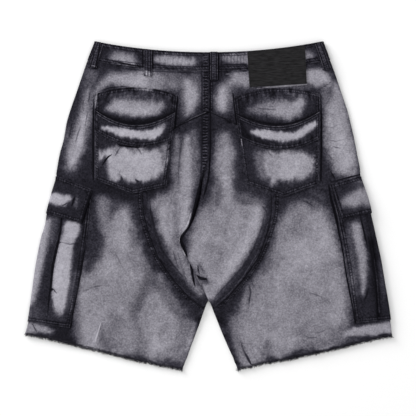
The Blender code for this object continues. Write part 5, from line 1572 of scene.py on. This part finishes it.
def washed_denim_group():
    """Worn denim: its colour from the wear, with painted shade along thin dark lines and painted highlight on
    some pale ones, broken up by the weave, and the height of the weave.
    """
    group = bpy.data.node_groups.new("washed_denim", "ShaderNodeTree")
    sockets(group, "INPUT", "Vector", "cloth", "place")
    sockets(group, "INPUT", "Float", *MEASURES, "speckle")
    sockets(group, "OUTPUT", "Color", "Colour")
    sockets(group, "OUTPUT", "Float", "Height", "Roughness")
    start, end = ends(group)
    place = start["place"]
    seam, worn = Value(group, start["seam"]), Value(group, start["worn"])

    # seams: two rows of stitches sunk into the cloth, rubbed ridges beside them, and rungs of puckers
    def near(distance, width):
        return clamped(1.0 - (seam - distance * MM).by("ABSOLUTE") / (width * MM))

    def beside(label, width):
        past = Value(group, start[label]) / (width * MM) + 0.2
        return clamped(1.0 - past) * start[label + "_strength"]

    def waves(value):
        return (value * (2 * pi)).by("SINE")

    rows = clamped(near(STITCH_ROWS[0], 1.2) + near(STITCH_ROWS[1], 1.2))
    uneven = cloud(group, place, 130.0, 1.0)
    rungs = waves(Value(group, start["along"]) * (1 / RUNG) + uneven * 2.2)
    steps = waves(axis_of(group, place, "Y") * (1 / CENTRE_RUNG) + uneven * 1.2)
    ladder = rungs * near(sum(STITCH_ROWS) / 2, 3.4) * LADDER_TONE + steps * start["ladder"] * 0.16
    edges = clamped(near(0.0, 1.3) + near(4.3, 1.5) * 0.6)
    # pale lines: rubbed rims are wear; the pale thin lines are partly wear and partly painted highlight
    rubbed_and_highlit = (edges * start["rim"]).by("MAXIMUM", beside("ridge", 1.3))
    worn = clamped((worn + ladder) * (1.0 - rows * 0.7)).by("MAXIMUM", rubbed_and_highlit)
    # painted shade: the thin dark lines where cloth parts or folds
    painted_gap_shade = clamped(1.0 - beside("gap", 1.0))

    # speckle: fluff and slubs a few millimetres wide, more of it where the cloth is half worn
    fine = cloud(group, place, 330.0, 5.0, 0.75) - 0.5
    broad = cloud(group, place, 95.0, 3.0, 0.6) - 0.5
    amount = (worn * (1.0 - worn) * 2.6 + 0.14) * start["speckle"]
    broken = clamped(worn + (fine * 1.35 + broad * 0.25) * amount)

    # twill: diagonal ridges across the warp, and uneven yarns
    diagonal = axis_of(group, start["cloth"], "X") * 2.0 + axis_of(group, start["cloth"], "Y")
    twill = (diagonal * (2 * pi / TWILL)).by("SINE")
    yarn = cloud(group, stretched(group, start["cloth"], 2600.0, 420.0), 1.0, 1.0) - 0.5
    woven = (twill * 0.045 + yarn * 0.22) * (broken * 0.8 + 0.12)
    toned = clamped(clamped(broken + woven) * painted_gap_shade)

    wrinkle = (cloud(group, place, 42.0, 3.0, 0.55, 1.4) - 0.5).by("ABSOLUTE").by("MINIMUM", 0.12)
    height = twill * 0.35 + yarn + fine * 1.6 + wrinkle * 14.0 + rows * -0.9 + ladder * 8.0 + painted_gap_shade * 2.0
    plug(group, end, {
        "Colour": ramp(
            group, toned, (0.0, (0.0040, 0.0037, 0.0056)), (0.12, (0.0195, 0.0185, 0.0260)),
            (0.25, (0.048, 0.046, 0.060)), (0.5, (0.136, 0.130, 0.154)), (0.75, (0.275, 0.266, 0.302)),
            (1.0, (0.470, 0.456, 0.512))),
        "Height": height, "Roughness": toned * 0.12 + 0.82})
    return group


def new_material(name):
    """A material, its tree, its shader, and the place on the piece."""
    material = bpy.data.materials.new(name)
    material.use_nodes = True
    tree = material.node_tree
    return material, tree, tree.nodes["Principled BSDF"], node(tree, "ShaderNodeTexCoord").outputs["Object"]


def denim_material(finish, speckle):
    material, tree, shader, place = new_material(finish)
    measured = {name: node(tree, "ShaderNodeAttribute", attribute_name=name).outputs["Fac"]
                for name in MEASURES}
    flat = node(tree, "ShaderNodeUVMap", uv_map="cloth").outputs["UV"]
    look = node(tree, "ShaderNodeGroup", {"cloth": flat, "place": place, "speckle": speckle, **measured},
                node_tree=washed_denim).outputs
    plug(tree, shader, {
        "Base Color": look["Colour"], "Roughness": look["Roughness"], "Specular IOR Level": 0.03,
        "Normal": bump(tree, look["Height"], 0.00022, 0.7)})
    return material


def thread_material(name, colour):
    """Cotton thread, its colour a little uneven."""
    material, tree, shader, place = new_material(name)
    dark, pale = ([tint * share for tint in colour] for share in (0.6, 1.7))
    plug(tree, shader, {
        "Base Color": ramp(tree, cloud(tree, place, 160.0, 2.0), (0.3, dark), (0.75, pale)),
        "Roughness": 0.7, "Specular IOR Level": 0.05,
        "Normal": bump(tree, cloud(tree, place, 2400.0, 2.0), 0.0001, 0.5)})
    return material


def leather_material():
    """Plain black leather with a fine grain."""
    material, tree, shader, place = new_material("black_leather")
    cells = node(tree, "ShaderNodeTexVoronoi", {"Vector": place, "Scale": 950.0}, feature="DISTANCE_TO_EDGE")
    worn = cloud(tree, stretched(tree, place, 70.0, 420.0), 1.0, 4.0, 0.6)
    grain = Value(tree, cells.outputs["Distance"]).by("MINIMUM", 0.12) * 6.0 + worn
    plug(tree, shader, {
        "Base Color": ramp(tree, worn, (0.3, (0.0050, 0.0048, 0.0052)), (0.8, (0.0300, 0.0292, 0.0310))),
        "Roughness": worn * 0.2 + 0.5, "Specular IOR Level": 0.05, "Normal": bump(tree, grain, 0.00015, 0.6)})
    return material


def metal_material():
    """Dark burnished metal, brighter where it is rubbed."""
    material, tree, shader, place = new_material("dark_metal")
    uneven = cloud(tree, place, 420.0, 4.0, 0.6)
    plug(tree, shader, {
        "Base Color": ramp(tree, uneven, (0.35, (0.10, 0.095, 0.09)), (0.7, (0.30, 0.28, 0.26))),
        "Metallic": 1.0, "Roughness": uneven * 0.25 + 0.22, "Normal": bump(tree, uneven, 0.00005, 0.4)})
    return material


def paper_material():
    """Plain white paper for the floor."""
    material, tree, shader, _ = new_material("floor_paper")
    plug(tree, shader, {"Base Color": (0.90, 0.90, 0.90, 1.0), "Roughness": 0.95, "Specular IOR Level": 0.0})
    return material


washed_denim = washed_denim_group()
FINISHES = {
    "denim": denim_material("denim", 1.0), "dark_denim": denim_material("dark_denim", 0.9),
    "black_leather": leather_material(), "dark_metal": metal_material()}
thread = thread_material("thread", (0.005, 0.0048, 0.006))
fray_thread = thread_material("fray_thread", (0.022, 0.021, 0.027))

# ---------------- sewing


def ordered(knots, values):
    return (knots, values) if knots[0] < knots[-1] else (knots[::-1], values[::-1])


def line_on(piece, where, inset, start=0.0, stop=1.0, over=0.10):
    """A line on a piece, `inset` from one of its edges, from start to stop of its length."""
    surface = made[piece].points + made[piece].normals * (made[piece].wall / 2 + over)
    reach = edge_distances(made[piece].points)[where]
    if where in ("top", "foot"):
        surface = surface.swapaxes(0, 1)
        reach = reach.T
    points = [[np.interp(inset, *ordered(away, row[:, axis])) for axis in range(3)]
              for away, row in zip(reach, surface)]
    first = round(start * (len(points) - 1))
    last = round(stop * (len(points) - 1))
    return points[first:last + 1]


def new_tree(name, *sizes):
    """A tree that works along lines and has its sizes and its seed as inputs; its two ends."""
    tree = bpy.data.node_groups.new(name, "GeometryNodeTree")
    sockets(tree, "INPUT", "Geometry", "Lines")
    sockets(tree, "INPUT", "Float", "Pitch", "Length", "Thickness", *sizes)
    sockets(tree, "INPUT", "Int", "Seed")
    sockets(tree, "OUTPUT", "Geometry", "Geometry")
    return tree, *ends(tree)


def chance(tree, start, low, high, extra):
    """A random value for each point, from the tree's seed."""
    seed = Value(tree, start["Seed"]) + extra
    return Value(tree, node(tree, "FunctionNodeRandomValue", {2: low, 3: high, "Seed": seed}).outputs[1])


def along_lines(tree, start):
    """Points every pitch along the lines."""
    path = node(tree, "GeometryNodeMeshToCurve", {0: start["Lines"]}).outputs[0]
    points = node(tree, "GeometryNodeResampleCurve", {"Curve": path, "Length": start["Pitch"]}, mode="LENGTH")
    return points.outputs["Curve"]


def turned(tree, rotation, **angles):
    """A rotation turned further, by angles about its own axes."""
    turn = node(tree, "ShaderNodeCombineXYZ", angles).outputs[0]
    both = {"Rotation": rotation, "Rotate By": turn}
    return node(tree, "FunctionNodeRotateEuler", both, space="LOCAL").outputs[0]


def close_tree(tree, end, material, points, thread_piece, rotation, scale):
    """Sets a piece of thread on every point; what would sink into the floor lies on it."""
    place = node(tree, "GeometryNodeInstanceOnPoints", {
        "Points": points, "Instance": thread_piece, "Rotation": rotation, "Scale": scale})
    real = node(tree, "GeometryNodeRealizeInstances", {0: place.outputs[0]}).outputs[0]
    position = node(tree, "GeometryNodeInputPosition").outputs[0]
    x, y, z = (axis_of(tree, position, axis) for axis in "XYZ")
    lifted = node(tree, "ShaderNodeCombineXYZ", {"X": x, "Y": y, "Z": z.by("MAXIMUM", z * 0.05 + 0.15 * MM)})
    settled = node(tree, "GeometryNodeSetPosition", {"Geometry": real, "Position": lifted.outputs[0]})
    paint = node(tree, "GeometryNodeSetMaterial", {"Geometry": settled.outputs[0], "Material": material})
    plug(tree, end, {"Geometry": paint.outputs[0]})


def stitch_tree():
    """Stitches along lines: slim beads of thread, laid end to end with a small gap."""
    tree, start, end = new_tree("stitches", "Turn")
    bead = node(tree, "GeometryNodeMeshUVSphere", {"Segments": 5, "Rings": 3, "Radius": 0.5}).outputs["Mesh"]
    size = node(tree, "ShaderNodeCombineXYZ", {
        "X": start["Thickness"], "Y": start["Length"], "Z": start["Thickness"]}).outputs[0]
    scale = node(tree, "ShaderNodeVectorMath", {0: size, "Scale": chance(tree, start, 0.85, 1.12, 1)},
                 operation="SCALE").outputs[0]
    direction = node(tree, "GeometryNodeInputTangent").outputs[0]
    along = node(tree, "FunctionNodeAlignEulerToVector", {"Vector": direction}, axis="Y").outputs["Rotation"]
    rotation = turned(tree, along, Z=start["Turn"])
    close_tree(tree, end, thread, along_lines(tree, start), bead, rotation, scale)
    return tree


def fray_tree():
    """Loose threads along a raw edge, short, bent and pointing every way outwards."""
    tree, start, end = new_tree("frays", "Spread")
    bend = node(tree, "GeometryNodeCurveQuadraticBezier", {
        "Resolution": 3, "Start": (0.0, 0.25, 0.0), "Middle": (0.25, -0.45, 0.0),
        "End": (-0.25, -0.95, 0.12)})
    radius = Value(tree, start["Thickness"]) * 0.5 / start["Length"]
    ring = node(tree, "GeometryNodeCurvePrimitiveCircle", {"Resolution": 3, "Radius": radius}).outputs[0]
    tube = node(tree, "GeometryNodeCurveToMesh", {
        "Curve": bend.outputs[0], "Profile Curve": ring, "Fill Caps": True}).outputs[0]
    length = chance(tree, start, 0.35, 1.35, 1) * start["Length"]
    roll = chance(tree, start, 0.0, 2 * pi, 2)
    swing = chance(tree, start, -1.0, 1.0, 3) * start["Spread"]
    pitch = chance(tree, start, -0.25, 0.2, 4)
    swung = node(tree, "ShaderNodeCombineXYZ", {"X": pitch, "Z": swing}).outputs[0]
    rotation = turned(tree, swung, Y=roll)
    close_tree(tree, end, fray_thread, along_lines(tree, start), tube, rotation, length)
    return tree


def grown(name, tree, lines, slot, **values):
    """A piece that a tree makes along lines."""
    points = []
    chains = []
    for each in lines:
        chains += [(len(points) + step, len(points) + step + 1) for step in range(len(each) - 1)]
        points += [tuple(value * MM for value in point) for point in each]
    mesh = bpy.data.meshes.new(name)
    mesh.from_pydata(points, chains, [])
    piece = in_scene(name, mesh)
    modifier = piece.modifiers.new("grow", "NODES")
    modifier.node_group = tree
    for item in tree.interface.items_tree:
        if item.name in values:
            value = values[item.name]
            modifier[item.identifier] = value * MM if item.name in ("Pitch", "Length", "Thickness") else value
    piece = finished(piece)
    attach(piece, "root")


# ---------------- the shorts


def lay(solid, points, wall, up, edges, finish, flat, area, rests_on, relief=back_relief, made_of="cloth"):
    """Makes a sheet from its points, names it for its solid and what it is made of, gives it its finish and
    hides the solid.
    """
    piece = cloth(solid, f"{solid}_{made_of}", points, wall, up, relief, edges)
    piece.data.materials.clear()
    piece.data.materials.append(FINISHES[finish])
    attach(piece, "root")
    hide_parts(solid)


LEG_EDGES = (Edge("inner", 9.0, 0.22, 7.0, 0.0), Edge("top", 8.0, 0.15, 8.0, 0.0, False))
INSET_EDGES = (Edge("outer", 8.0, 0.2, 7.0, 0.0, False),)
POCKET_SIDES = (Edge("inner", 7.0, 0.24, 5.5, 0.22), Edge("outer", 7.0, 0.24, 5.5, 0.22))
BACKING_EDGES = (*POCKET_SIDES, Edge("top", 15.0, 0.40, 5.0, 0.16))
POCKET_EDGES = (*POCKET_SIDES, Edge("foot", 6.0, 0.24, 5.0, 0.24))
MOUTH_EDGES = (*POCKET_SIDES, Edge("top", 4.0, 0.24, 5.0, 0.38), Edge("foot", 10.0, 0.40, 4.6, 0.24))
CARGO_SEAMS = (Edge("inner", 6.0, 0.2, 6.0, 0.32), Edge("foot", 5.0, 0.2, 6.0, 0.30))
FLAP_EDGES = (Edge("inner", 7.0, 0.25, 5.0, 0.20), Edge("top", 9.0, 0.3, 4.6, 0.16),
              Edge("foot", 4.0, 0.2, 5.0, 0.16))
BAND_EDGES = (Edge("top", 9.0, 0.30, 4.4, 0.22), Edge("foot", 9.0, 0.30, 4.6, 0.30))
LOOP_EDGES = (Edge("inner", 2.5, 0.12, 4.0, 0.34), Edge("outer", 2.5, 0.12, 4.0, 0.34))
INSET_FLAT = (((0.13, 0.345), 0.0234), ((0.18, 0.345), 0.0369))
SIDES = (("left", -1), ("right", 1))

for number, (name, side) in enumerate(SIDES):
    back, front = f"back_leg_{name}", f"front_leg_{name}"
    lay(back, leg(side, True), BODY_WALL, 1, LEG_EDGES, "denim", (0.33, 0.55), 0.109, [front])
    lay(f"back_inset_{name}", back_inset(side), BODY_WALL, 1, INSET_EDGES, "denim", *INSET_FLAT[number],
        [front])
    lay(front, leg(side, False), BODY_WALL, -1, (), "denim", (0.325, 0.55), 0.137, ["floor"], front_relief)
    pocket = BACK_POCKETS[number]
    backing, pocket_front = f"pocket_backing_{name}", f"pocket_front_{name}"
    lay(backing, pocket_part(pocket, "backing"), TRIM_WALL, 1, BACKING_EDGES, "denim", (0.152, 0.08),
        0.0092, [back])
    lay(pocket_front, pocket_part(pocket, "front"), TRIM_WALL, 1, POCKET_EDGES, "denim", (0.152, 0.15),
        0.0158, [back, backing])
    lay(f"pocket_band_{name}", pocket_part(pocket, "band"), TRIM_WALL, 1, MOUTH_EDGES, "denim", (0.152, 0.06),
        0.0055, [pocket_front])
    cargo, edges = f"cargo_pocket_{name}", CARGO_EDGES[number]
    lay(cargo, cargo_pocket(CARGO_POCKETS[number], edges), TRIM_WALL, 1, CARGO_SEAMS, "denim", (0.19, 0.235),
        0.036, [back, front])
    lay(f"cargo_flap_{name}", cargo_flap(CARGO_FLAPS[number], edges), TRIM_WALL, 1, FLAP_EDGES, "dark_denim",
        (0.15, 0.07), 0.0088, [cargo])

lay("waistband", waistband(), BAND_WALL, -1, BAND_EDGES, "dark_denim", (0.89, 0.036), 0.0297,
    ["back_leg_left", "back_leg_right"], None)
for loop in BELT_LOOPS:
    lay(loop.name, belt_loop(loop), LOOP_WALL, 1 if loop.z == LOOP_OVER else -1, LOOP_EDGES, "dark_denim",
        (0.014, 0.05), 0.0006, ["waistband"], None)
lay("patch", patch(), PATCH_WALL, 1, (), "black_leather", (0.105, 0.066), 0.0065,
    ["waistband", "back_leg_right"], None, "leather")
lay("fly_flap", fly_flap(), TRIM_WALL, -1, (), "dark_denim", (0.038, 0.152), 0.0054, ["front_leg_left"], None)


def button():
    """The waist button, turned: a rolled rim round a dished face with a small boss, face down."""
    profile = (
        (0.0, BUTTON_TOP), (7.6, BUTTON_TOP), (8.2, 2.05), (8.5, 1.6), (8.5, 0.8), (8.2, 0.25), (7.6, 0.0),
        (6.9, 0.05), (6.3, 0.45), (5.8, 0.62), (3.6, 0.62), (3.1, 0.35), (2.4, 0.22), (0.0, 0.2))
    mesh = bpy.data.meshes.new("button_turned")
    mesh.from_pydata([(radius * MM, 0.0, z * MM) for radius, z in profile],
                     [(step, step + 1) for step in range(len(profile) - 1)], [])
    piece = in_scene("button_turned", mesh)
    screw = piece.modifiers.new("turned", "SCREW")
    screw.steps = 48
    screw.render_steps = 48
    screw.use_merge_vertices = True
    screw.merge_threshold = 0.00001
    piece = finished(piece)
    for vertex in piece.data.vertices:
        vertex.co.y += BUTTON_Y * MM
    piece.data.materials.clear()
    piece.data.materials.append(FINISHES["dark_metal"])
    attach(piece, "root")
    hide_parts("button")


button()

# Rows of stitches on each side's pieces: the edge that they follow, how far in, and their stretch of it.
ROW, NEXT_ROW = STITCH_ROWS
SEWN = (
    ("back_leg", "inner", STITCH_ROWS, 0.13, 0.78),
    ("pocket_backing", "inner", STITCH_ROWS), ("pocket_backing", "outer", STITCH_ROWS),
    ("pocket_front", "inner", STITCH_ROWS), ("pocket_front", "outer", STITCH_ROWS),
    ("pocket_front", "foot", (ROW,)), ("pocket_front", "foot", (NEXT_ROW,), 0.06, 0.94),
    ("pocket_backing", "top", (ROW, 13.0)), ("pocket_band", "top", (ROW,)),
    ("pocket_band", "foot", STITCH_ROWS), ("cargo_pocket", "inner", STITCH_ROWS),
    ("cargo_pocket", "foot", (ROW,)), ("cargo_flap", "inner", STITCH_ROWS),
    ("cargo_flap", "top", STITCH_ROWS), ("cargo_flap", "foot", STITCH_ROWS))
stitches = stitch_tree()


def sew(name, lines, seed, pitch=3.0, length=2.3, thickness=0.5, turn=0.0):
    grown(name, stitches, lines, "dark_denim",
          Pitch=pitch, Length=length, Thickness=thickness, Turn=turn, Seed=seed)


for name, seed in (("left", 3), ("right", 8)):
    sew(f"stitches_{name}", [line_on(f"{piece}_{name}", where, inset, *stretch)
                             for piece, where, insets, *stretch in SEWN for inset in insets], seed)
sew("stitches_waist", [
    *(line_on("waistband", where, 2.0) for where in ("top", "foot")),
    *(line_on(loop.name, where, 2.0) for loop in BELT_LOOPS for where in ("inner", "outer")),
    *(line_on("patch", where, 2.2) for where in ("inner", "outer", "top", "foot"))], 12)
# the centre seam's ladder of stitches
sew("stitches_centre", [line_on("back_leg_left", "inner", 5.6, 0.0, 0.125),
                        line_on("back_inset_left", "inner", 5.6, 0.0, 0.2)], 5, 2.6, 4.4, 0.7, pi / 2)

# raw hems
frays = fray_tree()
for name, _ in SIDES:
    back = f"back_leg_{name}"
    grown(f"raw_hem_{name}", frays, [
        line_on(back, "foot", 0.5, over=-0.5), line_on(back, "foot", 1.2, over=0.0),
        line_on(back, "foot", 2.8, over=0.15), line_on(f"front_leg_{name}", "foot", 0.5, over=-0.5)],
        "denim", Pitch=0.7, Length=3.9, Thickness=0.48, Spread=1.15, Seed=4)

# ---------------- floor, light, camera


def floor():
    piece = in_scene("floor", grid_mesh("floor", 2, 2, 4.0))
    piece.data.materials.append(paper_material())


def softbox(name, place, size, power):
    light = bpy.data.lights.new(name, "AREA")
    light.shape = "SQUARE"
    light.size = size
    light.energy = power
    lamp = in_scene(name, light)
    lamp.location = place
    lamp.rotation_euler = (-lamp.location).to_track_quat("-Z", "Y").to_euler()


floor()
softbox("key", (-3.7, 3.7, 2.2), 2.8, 292.0)
softbox("fill", (0.3, -0.2, 3.2), 3.0, 34.0)

world = bpy.data.worlds.new("studio")
world.use_nodes = True
plug(world.node_tree, world.node_tree.nodes["Background"], {"Color": (1.0, 1.0, 1.0, 1.0), "Strength": 0.58})
bpy.context.scene.world = world

CAMERA_HEIGHT = 4.0
VIEW_CENTRE = (-0.0009, -0.0026, 0.008)
VIEW_WIDTH = 0.728
lens = bpy.data.cameras.new("camera")
lens.sensor_width = 36.0
lens.lens = 36.0 * CAMERA_HEIGHT / VIEW_WIDTH
camera = in_scene("camera", lens)
camera.location = (VIEW_CENTRE[0], VIEW_CENTRE[1], CAMERA_HEIGHT + VIEW_CENTRE[2])
bpy.context.scene.camera = camera
bpy.context.scene.view_settings.view_transform = "Standard"
